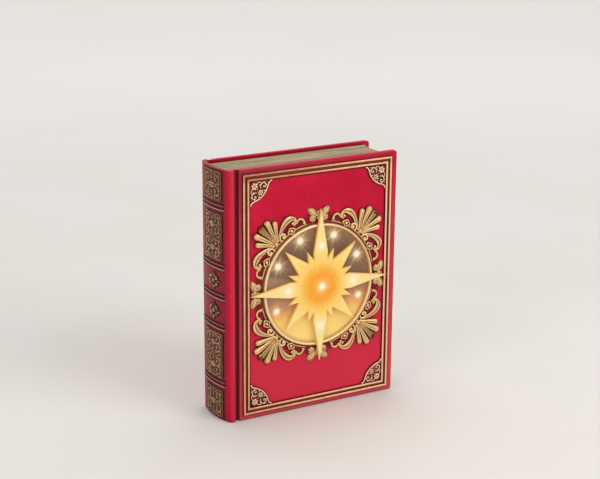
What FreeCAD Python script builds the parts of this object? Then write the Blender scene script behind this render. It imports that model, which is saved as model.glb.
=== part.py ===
import FreeCAD, Part
import math
import os
import types

import Sketcher
from FreeCAD import Placement, Rotation, Vector

# A battery light in the form of an old hard-bound book, standing upright.
# +Z is up, the front board faces -Y and the spine is at -X.
# The origin is at the middle of the box round the whole object, at its foot.

# Driving sizes in millimetres and counts: name, value, meaning
SIZES = (
    ("book_width", 169, "raised bands of the spine to fore edge of the boards"),
    ("book_height", 220, "foot to head of the boards"),
    ("board_thick", 4.5, "cover board"),
    ("board_corner", 2.5, "radius of the board corners at the fore edge"),
    ("board_edge", 1.0, "rounding along the outer edges of a board"),
    ("spine_depth", 8.4, "back of the spine to its lip at the hinge groove"),
    ("spine_curve", 80, "radius of the back of the spine"),
    ("spine_shoulder", 5, "radius of the spine shoulders"),
    ("groove_width", 4.6, "hinge groove between spine and board"),
    ("groove_depth", 2.9, "hinge groove, also the wall of the spine"),
    ("hinge_lap", 2.2, "hinge strip under the lip of the spine"),
    ("page_inset", 3.2, "page block below the head of the boards"),
    ("fore_inset", 5, "page block behind the fore edge of the boards"),
    ("fore_hollow", 4, "depth of the hollow fore edge"),
    ("page_wall", 3, "wall of the page block"),
    ("glue_gap", 0.2, "glue line between spine and page block"),
    ("column_radius", 4.2, "screw column in a corner of the page block"),
    ("column_sunk", 1.2, "screw column sunk into the walls"),
    ("band_rise", 0.9, "raised band above the back of the spine"),
    ("ridge_height", 1.8, "one ridge of a band"),
    ("ridge_pitch", 3.6, "between the two ridges of a band"),
    ("ridge_round", 0.5, "rounding of a ridge"),
    ("band_reach", 36, "length of a band across the spine"),
    ("inner_band", 0.12045, "inner bands from the middle of the spine, share of the height"),
    ("outer_band", 0.35227, "outer bands from the middle of the spine, share of the height"),
    ("panel_width", 28, "gilt spine panel"),
    ("panel_rise", 0.7, "gilt spine panel above the spine"),
    ("panel_gap", 5.6, "middle of a band to the next panel"),
    ("panel_seat", 0.1, "glue under the gilding of the spine"),
    ("panel_end", 2, "end of the spine to the next panel"),
    ("panel_shift", 2.4, "gilding of the spine from its middle, towards the front"),
    ("medallion_size", 18, "lozenge on the spine, corner to corner"),
    ("medallion_waist", 0.46, "middle of a side of the lozenge, share of its half size"),
    ("rail_margin", 4.4, "edge of the board to the outer rail, before the frame is shifted"),
    ("rail_width", 1.9, "one rail of the gilt frame"),
    ("rail_gap", 2.1, "between the two rails"),
    ("rail_rise", 1.4, "rail above the board"),
    ("rail_round", 0.6, "rounding of a rail"),
    ("trim_gap", 0.3, "between neighbouring pieces of trim"),
    ("corner_leg", 20, "corner piece along a rail"),
    ("corner_sweep", 16.5, "radius of the corner piece"),
    ("corner_tip", 1.4, "width of a corner piece at its tips"),
    ("corner_plate", 0.7, "ground of a corner piece"),
    ("corner_rim", 1.6, "rim of a corner piece, across"),
    ("corner_rise", 1.6, "rim of a corner piece above the board"),
    ("flower_place", 6.6, "corner flower from both rails"),
    ("petal_radius", 1.5, "petal of the corner flower"),
    ("petal_ring", 2.3, "middle of the flower to a petal"),
    ("petal_count", 5, "petals of the corner flower"),
    ("window_lift", 1.2, "middle of the window above the middle of the board"),
    ("window_shift", -1.4, "middle of the window and the frame from the middle of the board"),
    ("rosette_clear", 0.6, "tip of a side leaf to the frame beside it"),
    ("bezel_width", 2.6, "bezel ring, across"),
    ("bezel_rise", 3, "bezel above the board"),
    ("lens_lap", 1.2, "lens under the bezel"),
    ("lens_thick", 2.4, "window lens"),
    ("lens_ledge", 3.2, "ledge behind the lens"),
    ("fit_gap", 0.2, "clearance round a seated piece"),
    ("star_gap", 0.2, "star above the bezel"),
    ("star_thick", 2.3, "rays of the star"),
    ("star_crown", 2, "crown in the middle of the star"),
    ("star_round", 0.6, "rounding along the rays"),
    ("star_reach", 13.5, "long rays beyond the bezel"),
    ("star_clear", 2.5, "diagonal rays inside the bezel"),
    ("short_share", 0.6273, "short rays, share of the bezel radius"),
    ("valley_share", 0.4502, "valleys between the rays, share of the bezel radius"),
    ("belly_share", 0.5535, "widest place of a long ray, share of the bezel radius"),
    ("ray_share", 0.2546, "long ray at its widest, share of the bezel radius"),
    ("hub_share", 0.203, "hub behind the star, share of the bezel radius"),
    ("star_notch", 6.9, "degrees from a short ray to the valley beside it"),
    ("shell_spread", 17.8, "degrees between two lobes"),
    ("shell_taper", 0.86, "outer lobes, share of the long ones"),
    ("leaf_rise", 40, "degrees that an upper or lower leaf rises"),
    ("leaf_low", 27, "degrees that a side leaf rises"),
    ("scroll_turn", 300, "degrees that a large scroll winds"),
    ("scroll_tight", 36, "degrees from the pole of its spiral to its start"),
    ("hoop_end", 12.5, "degrees from an axis to the end of the bar"),
    ("lozenge_angle", 28, "degrees from an axis to a lozenge on the bar"),
    ("tray_flange", 6.3, "lip of the light tray beyond the lens"),
    ("tray_inset", 1, "inside of the light tray within the window opening"),
    ("tray_edge", 3.3, "screws of the light tray within its lip"),
    ("tray_wall", 1.5, "wall of the light tray"),
    ("tray_depth", 7.5, "light tray behind the front board"),
    ("led_radius", 2.5, "lamp body"),
    ("led_flange", 2.9, "lamp flange"),
    ("led_foot", 1, "thickness of the lamp flange"),
    ("led_length", 8.6, "lamp with its flange"),
    ("led_legs", 2.54, "between the two legs of a lamp"),
    ("leg_radius", 0.3, "leg of a lamp"),
    ("leg_length", 3, "legs behind the lamp"),
    ("lamp_inset", 4, "window lamps from the wall of the tray"),
    ("ray_lamp", 0.8, "ray lamps from the middle, share of the window lamps"),
    ("wire_gap", 0.8, "lamp string to the battery leads"),
    ("wire_radius", 0.8, "wire of the lamp string"),
    ("lead_radius", 0.65, "battery lead"),
    ("lead_drop", 5.2, "battery leads in front of the contact tails"),
    ("cell_radius", 7.25, "AA cell"),
    ("cell_can", 49.5, "AA cell without its nipple"),
    ("nipple_radius", 2.75, "nipple of a cell"),
    ("nipple_height", 1, "nipple of a cell"),
    ("cell_gap", 0.6, "beside each cell"),
    ("cell_count", 3, "cells side by side"),
    ("contact_room", 3.6, "for the contacts at each end of the cells"),
    ("contact_sheet", 0.5, "contact metal"),
    ("contact_side", 10, "contact plate of one cell"),
    ("box_wall", 1.6, "battery box"),
    ("cell_head", 1.1, "over the cells, up to the back board"),
    ("tail_length", 3, "contact tails in front of the battery box"),
    ("box_flange", 8, "flange of the battery box"),
    ("battery_shift", 0, "middle of the battery box from the middle of the board"),
    ("door_thick", 2.6, "battery door"),
    ("door_lap", 3, "door beyond the opening on each side"),
    ("door_gap", 0.3, "round the door"),
    ("pin_radius", 0.8, "hinge pin of the door"),
    ("pin_length", 2.4, "hinge pin of the door"),
    ("pin_gap", 0.06, "clearance round a hinge pin"),
    ("thumb_radius", 9, "finger scoop under the door"),
    ("thumb_depth", 1.6, "finger scoop under the door"),
    ("tongue_width", 14, "spring tongue of the door"),
    ("tongue_length", 8, "spring tongue of the door"),
    ("tongue_slit", 1, "slits beside the tongue"),
    ("board_width", 40, "timer board"),
    ("board_tall", 24, "timer board"),
    ("board_sheet", 1.6, "timer board"),
    ("timer_gap", 17.45, "timer board above the battery box"),
    ("post_radius", 3, "posts that carry the timer board"),
    ("switch_width", 13, "slide switch"),
    ("switch_tall", 6.4, "slide switch"),
    ("switch_deep", 5.6, "slide switch"),
    ("switch_clear", 0.3, "slide switch to the back board"),
    ("knob_width", 3.8, "switch knob along its travel"),
    ("knob_tall", 3, "switch knob across its travel"),
    ("knob_foot", 1.8, "switch knob inside the switch"),
    ("knob_sunk", 0.6, "end of the knob below the back board"),
    ("knob_travel", 4, "travel of the knob"),
    ("slide_gap", 0.3, "round the knob"),
    ("recess_width", 18, "finger recess of the switch"),
    ("recess_tall", 9, "finger recess of the switch"),
    ("recess_depth", 2.2, "finger recess of the switch"),
    ("chip_width", 5, "timer chip"),
    ("chip_tall", 4, "timer chip"),
    ("chip_deep", 1.5, "timer chip"),
    ("screw_core", 1.25, "shank of a screw"),
    ("screw_gap", 0.05, "clearance round a shank"),
    ("screw_head", 2.6, "head of a screw"),
    ("head_thick", 1.6, "head of a screw"),
    ("case_screw", 14, "length of a case screw under its head"),
    ("small_screw", 5, "length of the other screws under their heads"),
    ("head_gap", 0.3, "clearance round a sunk head"),
    ("head_sunk", 0.4, "sunk head below the back board"),
)

# Sizes of the relief in hundredths of the bezel radius: name, value, meaning
GILDING = (
    ("shell_gap", 4.43, "root of a shell fan outside the bezel"),
    ("shell_length", 48, "long lobe of a shell fan"),
    ("shell_lobe", 5.7, "radius of a long lobe at its tip"),
    ("shell_stem", 2.1, "radius of a lobe at its root"),
    ("shell_knuckle", 4.2, "bead at the root of a shell fan"),
    ("scoop_length", 47, "hollow lobe in the middle of a shell fan"),
    ("scoop_radius", 6.6, "radius of the hollow lobe at its tip"),
    ("scoop_hollow", 4.5, "radius of the hollow in it"),
    ("scoop_floor", 1, "floor of the hollow above the board"),
    ("scroll_width", 4.3, "half width of a large scroll"),
    ("scroll_eye", 3.14, "bead in the eye of a scroll"),
    ("hoop_gap", 3.69, "middle of the bar that runs round the bezel, outside it"),
    ("hoop_width", 1.66, "half width of that bar"),
    ("tendril_width", 2.3, "half width of a small scroll"),
    ("lozenge_across", 8.67, "lozenge across the bar"),
    ("lozenge_along", 14, "lozenge along the bar"),
    ("lozenge_rise", 2.77, "lozenge above the board"),
    ("rosette_gap", 9.4, "middle of a rosette outside the bezel"),
    ("leaf_length", 28.5, "leaf of a rosette"),
    ("leaf_width", 6.4, "half width of a leaf"),
    ("petal_reach", 11, "middle of a rosette to its side petals"),
    ("crest_reach", 5.6, "middle of a rosette to its outer petal"),
    ("petal_size", 7, "radius of a petal"),
    ("petal_rise", 4.2, "petals and leaves above the board"),
    ("rosette_bead", 5, "bead in the middle of a rosette"),
)

# Points of the relief in the upper right quarter: degrees from +X and hundredths outside the bezel
SCROLL_EYE = (66, 15.96)
SCROLL_START = (48, 8.17)
TENDRIL = ((69.2, 12.47), (73.5, 15.83), (75.7, 7.75))

# Lamps behind the window, in degrees; the lower quarter has none
WINDOW_LAMPS = (28.5, 69.5, 113.5, 151.5, 204.5, 339)

# Places that follow from the driving sizes: name, formula
PLACES = (
    ("lamp_stack", "=dims.tray_depth + dims.led_foot + dims.leg_length"),
    ("string_stack", "=lamp_stack + 2 * dims.wire_radius + dims.screw_gap"),
    ("box_depth", "=2 * dims.cell_radius + dims.cell_head"),
    ("box_stack", "=box_depth + dims.box_wall + dims.tail_length + dims.lead_drop + dims.lead_radius"),
    ("room_depth", "=string_stack + dims.wire_gap + box_stack"),
    ("book_thick", "=room_depth + 2 * dims.board_thick"),
    ("star_base", "=dims.bezel_rise + dims.star_gap"),
    ("relief", "=star_base + dims.star_thick + dims.star_crown"),
    ("front_y", "=(relief - book_thick) / 2"),
    ("back_y", "=front_y + book_thick"),
    ("middle_y", "=(front_y + back_y) / 2"),
    ("inner_front_y", "=front_y + dims.board_thick"),
    ("inner_back_y", "=back_y - dims.board_thick"),
    ("spine_x", "=dims.band_rise - dims.book_width / 2"),
    ("fore_x", "=dims.book_width / 2"),
    ("lip_x", "=spine_x + dims.spine_depth"),
    ("board_x", "=lip_x + dims.groove_width"),
    ("strip_thick", "=dims.board_thick - dims.groove_depth"),
    ("board_middle_x", "=(board_x + fore_x) / 2"),
    ("board_half", "=(fore_x - board_x) / 2"),
    ("spine_centre_x", "=spine_x + dims.spine_curve"),
    ("page_low", "=dims.page_inset"),
    ("page_high", "=dims.book_height - dims.page_inset"),
    ("page_fore_x", "=fore_x - dims.fore_inset"),
    ("room_left", "=board_x + dims.page_wall"),
    ("room_right", "=page_fore_x - dims.fore_hollow - dims.page_wall"),
    ("room_low", "=page_low + dims.page_wall"),
    ("room_high", "=page_high - dims.page_wall"),
    ("column_reach", "=dims.column_radius - dims.column_sunk"),
    ("column_left", "=room_left + column_reach"),
    ("column_right", "=room_right - column_reach"),
    ("column_low", "=room_low + column_reach"),
    ("column_high", "=room_high - column_reach"),
    ("rail_inner", "=dims.rail_margin + dims.rail_width + dims.rail_gap"),
    ("field_margin", "=rail_inner + dims.rail_width + dims.trim_gap"),
    ("band_inner", "=dims.book_height * dims.inner_band"),
    ("band_outer", "=dims.book_height * dims.outer_band"),
    ("window_x", "=board_middle_x + dims.window_shift"),
    ("window_height", "=dims.book_height / 2 + dims.window_lift"),
    ("frame_left", "=window_x - board_half"),
    ("frame_right", "=window_x + board_half"),
    ("half_field", "=board_half - field_margin"),
    ("side_leaf", "=gilding.leaf_length * sin(dims.leaf_low)"),
    ("rosette_reach", "=gilding.rosette_gap + max(side_leaf; gilding.crest_reach + gilding.petal_size)"),
    ("bezel_radius", "=(half_field - dims.rosette_clear) / (1 + rosette_reach / 100)"),
    ("bezel_bore", "=bezel_radius - dims.bezel_width"),
    ("star_long", "=bezel_radius + dims.star_reach"),
    ("star_middle", "=bezel_bore - dims.star_clear"),
    ("star_short", "=bezel_radius * dims.short_share"),
    ("star_valley", "=bezel_radius * dims.valley_share"),
    ("star_belly", "=bezel_radius * dims.belly_share"),
    ("star_ray", "=bezel_radius * dims.ray_share"),
    ("star_hub", "=bezel_radius * dims.hub_share"),
    ("lens_radius", "=bezel_bore + dims.lens_lap"),
    ("ledge_bore", "=lens_radius - dims.lens_ledge"),
    ("tray_bore", "=ledge_bore - dims.tray_inset"),
    ("tray_lip", "=lens_radius + dims.tray_flange"),
    ("tray_screw", "=tray_lip - dims.tray_edge"),
    ("led_window", "=tray_bore - dims.lamp_inset"),
    ("led_ray", "=led_window * dims.ray_lamp"),
    ("tray_floor_y", "=inner_front_y + dims.tray_depth"),
    ("string_y", "=inner_front_y + string_stack - dims.wire_radius"),
    ("battery_x", "=board_middle_x + dims.battery_shift"),
    ("cell_length", "=dims.cell_can + dims.nipple_height"),
    ("cell_pitch", "=2 * dims.cell_radius + dims.cell_gap"),
    ("bay_width", "=cell_length + 2 * dims.contact_room"),
    ("bay_tall", "=dims.cell_count * cell_pitch + dims.cell_gap"),
    ("bay_left", "=battery_x - bay_width / 2"),
    ("bay_right", "=battery_x + bay_width / 2"),
    ("board_height", "=window_height"),
    ("bay_high", "=board_height - dims.board_tall / 2 - dims.timer_gap - dims.box_wall"),
    ("bay_low", "=bay_high - bay_tall"),
    ("battery_height", "=(bay_low + bay_high) / 2"),
    ("bay_floor_y", "=inner_back_y - box_depth"),
    ("tail_y", "=bay_floor_y - dims.box_wall - dims.tail_length"),
    ("cell_y", "=bay_floor_y + dims.cell_radius + dims.screw_gap"),
    ("seat_y", "=back_y - dims.door_thick"),
    ("hinge_drop", "=dims.door_thick / 2"),
    ("hinge_y", "=back_y - hinge_drop"),
    ("door_top", "=bay_high + dims.door_lap"),
    ("door_low", "=bay_low - dims.door_lap"),
    ("hinge_z", "=door_top - hinge_drop"),
    ("switch_top_y", "=inner_back_y - dims.switch_clear"),
    ("timer_y", "=switch_top_y - dims.switch_deep"),
    ("timer_front_y", "=timer_y - dims.board_sheet"),
    ("post_height", "=inner_back_y - timer_y"),
    ("post_reach", "=dims.board_width / 2 - dims.post_radius - dims.trim_gap"),
    ("knob_room", "=dims.knob_width + dims.knob_travel + 2 * dims.slide_gap"),
    ("knob_slot", "=dims.knob_tall + 2 * dims.slide_gap"),
    ("sink_depth", "=dims.head_thick + dims.head_sunk"),
)

doc = FreeCAD.newDocument("book_lamp")


def fill_sheet(name, rows):
    """Make a sheet with one aliased cell for each row."""
    sheet = doc.addObject("Spreadsheet::Sheet", name)
    for number, row in enumerate(rows, start=1):
        sheet.set("A%d" % number, row[0])
        sheet.set("B%d" % number, str(row[1]))
        sheet.setAlias("B%d" % number, row[0])
        if len(row) > 2:
            sheet.set("C%d" % number, row[2])
    return sheet


dims = fill_sheet("dims", SIZES)
gilding = fill_sheet("gilding", GILDING)
places = fill_sheet("places", PLACES)
doc.recompute()

# The same numbers for the shapes that are worked out in code
size = types.SimpleNamespace()
for cell_sheet, cell_rows in ((dims, SIZES), (places, PLACES)):
    for cell_row in cell_rows:
        setattr(size, cell_row[0], float(getattr(cell_sheet, cell_row[0])))
for cell_row in GILDING:
    setattr(size, cell_row[0], float(getattr(gilding, cell_row[0])) * size.bezel_radius / 100)

subparts = []


# Helpers for bodies, sketches and features

def new_body(label):
    """Start a piece as a body and note it for export."""
    body = doc.addObject("PartDesign::Body", label)
    body.Label = label
    subparts.append(body)
    return body


def new_shape(label, shape, place=None):
    """Start a piece from a shape that is worked out in code."""
    feature = doc.addObject("Part::Feature", label)
    feature.Label = label
    feature.Shape = shape
    feature.Placement = place or Placement()
    subparts.append(feature)
    return feature


def origin_of(body, role):
    """Origin plane or axis of a body."""
    return next(item for item in body.Origin.OriginFeatures if item.Role == role)


def lay(body, name, role, level=None):
    """Empty sketch on an origin plane, shifted along the plane's normal."""
    sketch = body.newObject("Sketcher::SketchObject", name)
    sketch.AttachmentSupport = [(origin_of(body, role), "")]
    sketch.MapMode = "FlatFace"
    if level:
        sketch.setExpression("AttachmentOffset.Base.z", level)
    return sketch


def upright(body, name, level_y):
    """Empty sketch on an upright plane at a given Y: its axes are X and Z."""
    return lay(body, name, "XZ_Plane", "-(%s)" % level_y)


def hold(sketch, kind, geometry, point, expression):
    """Hold one coordinate of a point by an expression."""
    index = sketch.addConstraint(Sketcher.Constraint(kind, -1, 1, geometry, point, 1.0))
    sketch.setExpression("Constraints[%d]" % index, expression)


def rectangle(sketch, left, right, low, high):
    """Rectangle whose sides are held by four expressions."""
    corners = (Vector(0, 0, 0), Vector(1, 0, 0), Vector(1, 1, 0), Vector(0, 1, 0))
    sides = [Part.LineSegment(corners[i], corners[(i + 1) % 4]) for i in range(4)]
    first = sketch.addGeometry(sides, False)[0]
    for i in range(4):
        sketch.addConstraint(Sketcher.Constraint("Coincident", first + i, 2, first + (i + 1) % 4, 1))
        flat = "Horizontal" if i % 2 == 0 else "Vertical"
        sketch.addConstraint(Sketcher.Constraint(flat, first + i))
    hold(sketch, "DistanceX", first, 1, left)
    hold(sketch, "DistanceY", first, 1, low)
    hold(sketch, "DistanceX", first + 1, 2, right)
    hold(sketch, "DistanceY", first + 1, 2, high)


def block(sketch, middle_x, middle_z, width, tall):
    """Rectangle held by its middle and its size."""
    rectangle(
        sketch,
        "%s - %s / 2" % (middle_x, width),
        "%s + %s / 2" % (middle_x, width),
        "%s - %s / 2" % (middle_z, tall),
        "%s + %s / 2" % (middle_z, tall),
    )


def circle(sketch, middle_x, middle_z, radius):
    """Circle held by its middle and its radius."""
    round_line = Part.Circle(Vector(0, 0, 0), Vector(0, 0, 1), 1.0)
    index = sketch.addGeometry(round_line, False)
    hold(sketch, "DistanceX", index, 3, middle_x)
    hold(sketch, "DistanceY", index, 3, middle_z)
    datum = sketch.addConstraint(Sketcher.Constraint("Radius", index, 1.0))
    sketch.setExpression("Constraints[%d]" % datum, radius)


def outline_edges(start, steps):
    """Closed chain of lines and arcs: a step is an end point, or a point on the way and an end."""
    edges = []
    here = Vector(start[0], start[1], 0)
    for step in steps:
        there = Vector(step[-2], step[-1], 0)
        if len(step) == 4:
            edges.append(Part.Arc(here, Vector(step[0], step[1], 0), there))
        else:
            edges.append(Part.LineSegment(here, there))
        here = there
    return edges


def outline(sketch, start, steps):
    """Draw a closed chain of lines and arcs."""
    sketch.addGeometry(outline_edges(start, steps), False)


def pad(body, sketch, length, reverse=False):
    """Grow a sketch along its normal, or against it."""
    feature = body.newObject("PartDesign::Pad", sketch.Name + "_pad")
    feature.Profile = sketch
    feature.setExpression("Length", length)
    feature.Reversed = reverse
    return feature


def cut(body, sketch, depth=None, reverse=False):
    """Cut a sketch against its normal, or along it; without a depth it goes right through."""
    feature = body.newObject("PartDesign::Pocket", sketch.Name + "_cut")
    feature.Profile = sketch
    feature.Reversed = reverse
    if depth:
        feature.setExpression("Length", depth)
    else:
        feature.Type = "ThroughAll"
    return feature


def revolve(body, sketch, role):
    """Turn a sketch once round an origin axis."""
    feature = body.newObject("PartDesign::Revolution", sketch.Name + "_turn")
    feature.Profile = sketch
    feature.ReferenceAxis = (origin_of(body, role), [""])
    feature.Angle = 360
    return feature


def soften(body, test, radius, kind="PartDesign::Fillet"):
    """Round or bevel the edges of the body's last feature that pass a test."""
    doc.recompute()
    base = body.Tip
    names = ["Edge%d" % (i + 1) for i, edge in enumerate(base.Shape.Edges) if test(edge)]
    feature = body.newObject(kind, base.Name + "_soft")
    feature.Base = (base, names)
    feature.setExpression("Radius" if kind.endswith("Fillet") else "Size", radius)
    return feature


def on_plane(axis, level):
    """Test for an edge that lies in a plane square to an axis."""
    def test(edge):
        box = edge.BoundBox
        low = getattr(box, axis + "Min")
        high = getattr(box, axis + "Max")
        return abs(low - level) < 0.001 and abs(high - level) < 0.001
    return test


def place_body(body, across, depth, height):
    """Bind the place of a body that is drawn round its own origin."""
    body.setExpression("Placement.Base.x", across)
    body.setExpression("Placement.Base.y", depth)
    body.setExpression("Placement.Base.z", height)


# Case

def make_board(label, level, reverse, outer_y):
    """Cover board with rounded corners and edges, and its thin hinge strip."""
    body = new_body(label)
    plan = upright(body, label + "_plan", level)
    rectangle(plan, "places.board_x", "places.fore_x", "0", "dims.book_height")
    pad(body, plan, "dims.board_thick", reverse)

    def fore_corner(edge):
        box = edge.BoundBox
        return box.YLength > size.board_thick / 2 and box.XMin > size.fore_x - size.board_corner

    soften(body, fore_corner, "dims.board_corner")
    soften(body, on_plane("Y", outer_y), "dims.board_edge")
    strip = upright(body, label + "_strip", level)
    rectangle(strip, "places.lip_x - dims.hinge_lap", "places.board_x + dims.board_edge",
              "0", "dims.book_height")
    pad(body, strip, "places.strip_thick", reverse)
    return body


def tray_screw_places():
    """Middles of the four tray screws as pairs of expressions."""
    diagonal = "places.tray_screw * %.9f" % math.sqrt(0.5)
    return [
        ("places.window_x %s %s" % (sx, diagonal), "places.window_height %s %s" % (sz, diagonal))
        for sx in "+-" for sz in "+-"
    ]


def column_places():
    """Middles of the four case screws as pairs of expressions."""
    return [(x, z) for x in ("places.column_left", "places.column_right")
            for z in ("places.column_low", "places.column_high")]


def box_screw_places():
    """Middles of the four battery box screws as pairs of expressions."""
    reach = "places.bay_width / 2 + dims.box_wall + dims.box_flange / 2"
    rise = "places.bay_tall / 4"
    return [
        ("places.battery_x %s (%s)" % (sx, reach), "places.battery_height %s %s" % (sz, rise))
        for sx in "+-" for sz in "+-"
    ]


def post_places():
    """Middles of the two timer board screws as pairs of expressions."""
    return [("places.battery_x %s places.post_reach" % sx, "places.board_height") for sx in "+-"]


def circles(sketch, middles, radius):
    """The same circle at several places."""
    for across, height in middles:
        circle(sketch, across, height, radius)


def make_front_cover():
    """Front board with the seat and opening of the window."""
    body = make_board("front_cover", "places.inner_front_y", False, size.front_y)
    seat = upright(body, "lens_seat", "places.front_y")
    circle(seat, "places.window_x", "places.window_height", "places.lens_radius + dims.fit_gap")
    cut(body, seat, "dims.lens_thick")
    bore = upright(body, "window_bore", "places.front_y")
    circle(bore, "places.window_x", "places.window_height", "places.ledge_bore")
    cut(body, bore)
    pilot = upright(body, "tray_pilots", "places.inner_front_y")
    circles(pilot, tray_screw_places(), "dims.screw_core + dims.screw_gap")
    cut(body, pilot, "dims.small_screw - dims.tray_wall + dims.fit_gap", True)


def make_back_cover():
    """Back board with the battery opening, door seat, switch slot and screw holes."""
    body = make_board("back_cover", "places.inner_back_y", True, size.back_y)
    seat = upright(body, "door_seat", "places.back_y")
    rectangle(seat, "places.bay_left - dims.door_lap - dims.door_gap",
              "places.bay_right + dims.door_lap + dims.door_gap",
              "places.door_low - dims.door_gap", "places.door_top + dims.door_gap")
    cut(body, seat, "dims.door_thick", True)
    trough = upright(body, "hinge_trough", "places.back_y")
    rectangle(trough, "places.bay_left - dims.door_lap - dims.door_gap",
              "places.bay_right + dims.door_lap + dims.door_gap",
              "places.bay_high", "places.door_top + dims.door_gap")
    cut(body, trough, "dims.door_thick + dims.door_gap", True)
    bay = upright(body, "battery_bay", "places.back_y")
    rectangle(bay, "places.bay_left", "places.bay_right", "places.bay_low", "places.bay_high")
    cut(body, bay, None, True)
    thumb = upright(body, "finger_scoop", "places.back_y")
    circle(thumb, "places.battery_x", "places.door_low", "dims.thumb_radius")
    cut(body, thumb, "dims.thumb_depth", True)
    for name, edge_x, outward in (("left_socket", "places.bay_left - dims.door_lap", "-"),
                                  ("right_socket", "places.bay_right + dims.door_lap", "+")):
        socket = lay(body, name, "YZ_Plane", "%s - (%s1) * dims.door_gap" % (edge_x, outward))
        circle(socket, "places.hinge_y", "places.hinge_z", "dims.pin_radius + dims.pin_gap")
        cut(body, socket, "dims.pin_length + 3 * dims.door_gap", outward == "+")
    recess = upright(body, "switch_recess", "places.back_y")
    block(recess, "places.battery_x", "places.board_height", "dims.recess_width", "dims.recess_tall")
    cut(body, recess, "dims.recess_depth", True)
    slot = upright(body, "switch_slot", "places.back_y")
    block(slot, "places.battery_x", "places.board_height", "places.knob_room", "places.knob_slot")
    cut(body, slot, None, True)
    posts = upright(body, "timer_posts", "places.inner_back_y")
    circles(posts, post_places(), "dims.post_radius")
    pad(body, posts, "places.post_height")
    post_holes = upright(body, "post_pilots", "places.timer_y")
    circles(post_holes, post_places(), "dims.screw_core + dims.screw_gap")
    cut(body, post_holes, "dims.small_screw - dims.board_sheet + dims.fit_gap")
    box_holes = upright(body, "box_pilots", "places.inner_back_y")
    circles(box_holes, box_screw_places(), "dims.screw_core + dims.screw_gap")
    cut(body, box_holes, "dims.small_screw - dims.box_wall + dims.fit_gap")
    sinks = upright(body, "case_sinks", "places.back_y")
    circles(sinks, column_places(), "dims.screw_head + dims.head_gap")
    cut(body, sinks, "places.sink_depth", True)
    holes = upright(body, "case_holes", "places.back_y")
    circles(holes, column_places(), "dims.screw_core + dims.head_gap")
    cut(body, holes, None, True)


def spine_shoulder_point():
    """Middle of a shoulder arc, from the middle of the back curve: along X and along Y."""
    across = size.book_thick / 2 - size.spine_shoulder
    along = math.sqrt((size.spine_curve - size.spine_shoulder) ** 2 - across ** 2)
    return along, across


def make_spine():
    """Rounded shell with raised bands, open towards the pages."""
    body = new_body("spine")
    centre_x = size.spine_centre_x
    along, across = spine_shoulder_point()
    shoulder_x = centre_x - along
    half = size.book_thick / 2
    scale = size.spine_curve / (size.spine_curve - size.spine_shoulder)
    meet_x = centre_x - along * scale
    meet_y = across * scale
    turn = math.atan2(across, along) / 2 + math.pi / 4
    bend_x = shoulder_x - size.spine_shoulder * math.cos(turn)
    bend_y = across + size.spine_shoulder * math.sin(turn)
    inside = half - size.groove_depth
    inner_curve = size.spine_curve - size.groove_depth
    inner_x = centre_x - math.sqrt(inner_curve ** 2 - inside ** 2)
    mid = size.middle_y
    lip = size.lip_x
    plan = lay(body, "spine_plan", "XY_Plane")
    outline(plan, (lip, mid - half), (
        (shoulder_x, mid - half),
        (bend_x, mid - bend_y, meet_x, mid - meet_y),
        (size.spine_x, mid, meet_x, mid + meet_y),
        (bend_x, mid + bend_y, shoulder_x, mid + half),
        (lip, mid + half),
        (lip, mid + inside),
        (inner_x, mid + inside),
        (centre_x - inner_curve, mid, inner_x, mid - inside),
        (lip, mid - inside),
        (lip, mid - half),
    ))
    pad(body, plan, "dims.book_height")
    for number, offset in enumerate(("- places.band_outer", "- places.band_inner", "+ 0",
                                     "+ places.band_inner", "+ places.band_outer")):
        for side in "-+":
            level = "dims.book_height / 2 %s %s dims.ridge_pitch / 2 - dims.ridge_height / 2"
            ridge = lay(body, "ridge_%d%s" % (number, "a" if side == "-" else "b"),
                        "XY_Plane", level % (offset, side))
            crescent(ridge, -size.band_reach / 2, size.band_reach / 2, -size.band_rise, size.band_rise)
            pad(body, ridge, "dims.ridge_height")

    def crest(edge):
        box = edge.BoundBox
        curved = edge.Curve.TypeId == "Part::GeomCircle"
        return curved and box.XMin < size.spine_x - size.band_rise / 2 and box.ZLength < 0.001

    soften(body, crest, "dims.ridge_round")


def crescent(sketch, low, high, inner_rise, outer_rise):
    """Strip along the back of the spine between two places across it and two offsets from its curve."""
    def at(across, rise):
        radius = size.spine_curve + rise
        return (size.spine_centre_x - math.sqrt(radius ** 2 - across ** 2), size.middle_y + across)

    middle = (low + high) / 2
    outline(sketch, at(low, inner_rise), (
        at(low, outer_rise),
        at(middle, outer_rise) + at(high, outer_rise),
        at(high, inner_rise),
        at(middle, inner_rise) + at(low, inner_rise),
    ))


def make_page_block():
    """Frame of pages with a hollow fore edge, a rounded back and four screw columns."""
    body = new_body("page_block")
    half = size.book_thick / 2 - size.board_thick
    mid = size.middle_y
    curve = size.spine_curve - size.groove_depth - size.glue_gap
    back_x = size.spine_centre_x - math.sqrt(curve ** 2 - half ** 2)
    plan = lay(body, "page_plan", "XY_Plane", "places.page_low")
    outline(plan, (back_x, mid - half), (
        (size.page_fore_x, mid - half),
        (size.page_fore_x - size.fore_hollow, mid, size.page_fore_x, mid + half),
        (back_x, mid + half),
        (size.spine_centre_x - curve, mid, back_x, mid - half),
    ))
    pad(body, plan, "places.page_high - places.page_low")
    room = upright(body, "page_room", "places.inner_front_y")
    rectangle(room, "places.room_left", "places.room_right", "places.room_low", "places.room_high")
    cut(body, room)
    columns = upright(body, "screw_columns", "places.inner_back_y")
    circles(columns, column_places(), "dims.column_radius")
    pad(body, columns, "places.room_depth")
    pilots = upright(body, "column_pilots", "places.inner_back_y")
    circles(pilots, column_places(), "dims.screw_core + dims.screw_gap")
    cut(body, pilots, "dims.case_screw - dims.board_thick + places.sink_depth + dims.fit_gap", True)


# Gilt frame, corners and spine gilding

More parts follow.
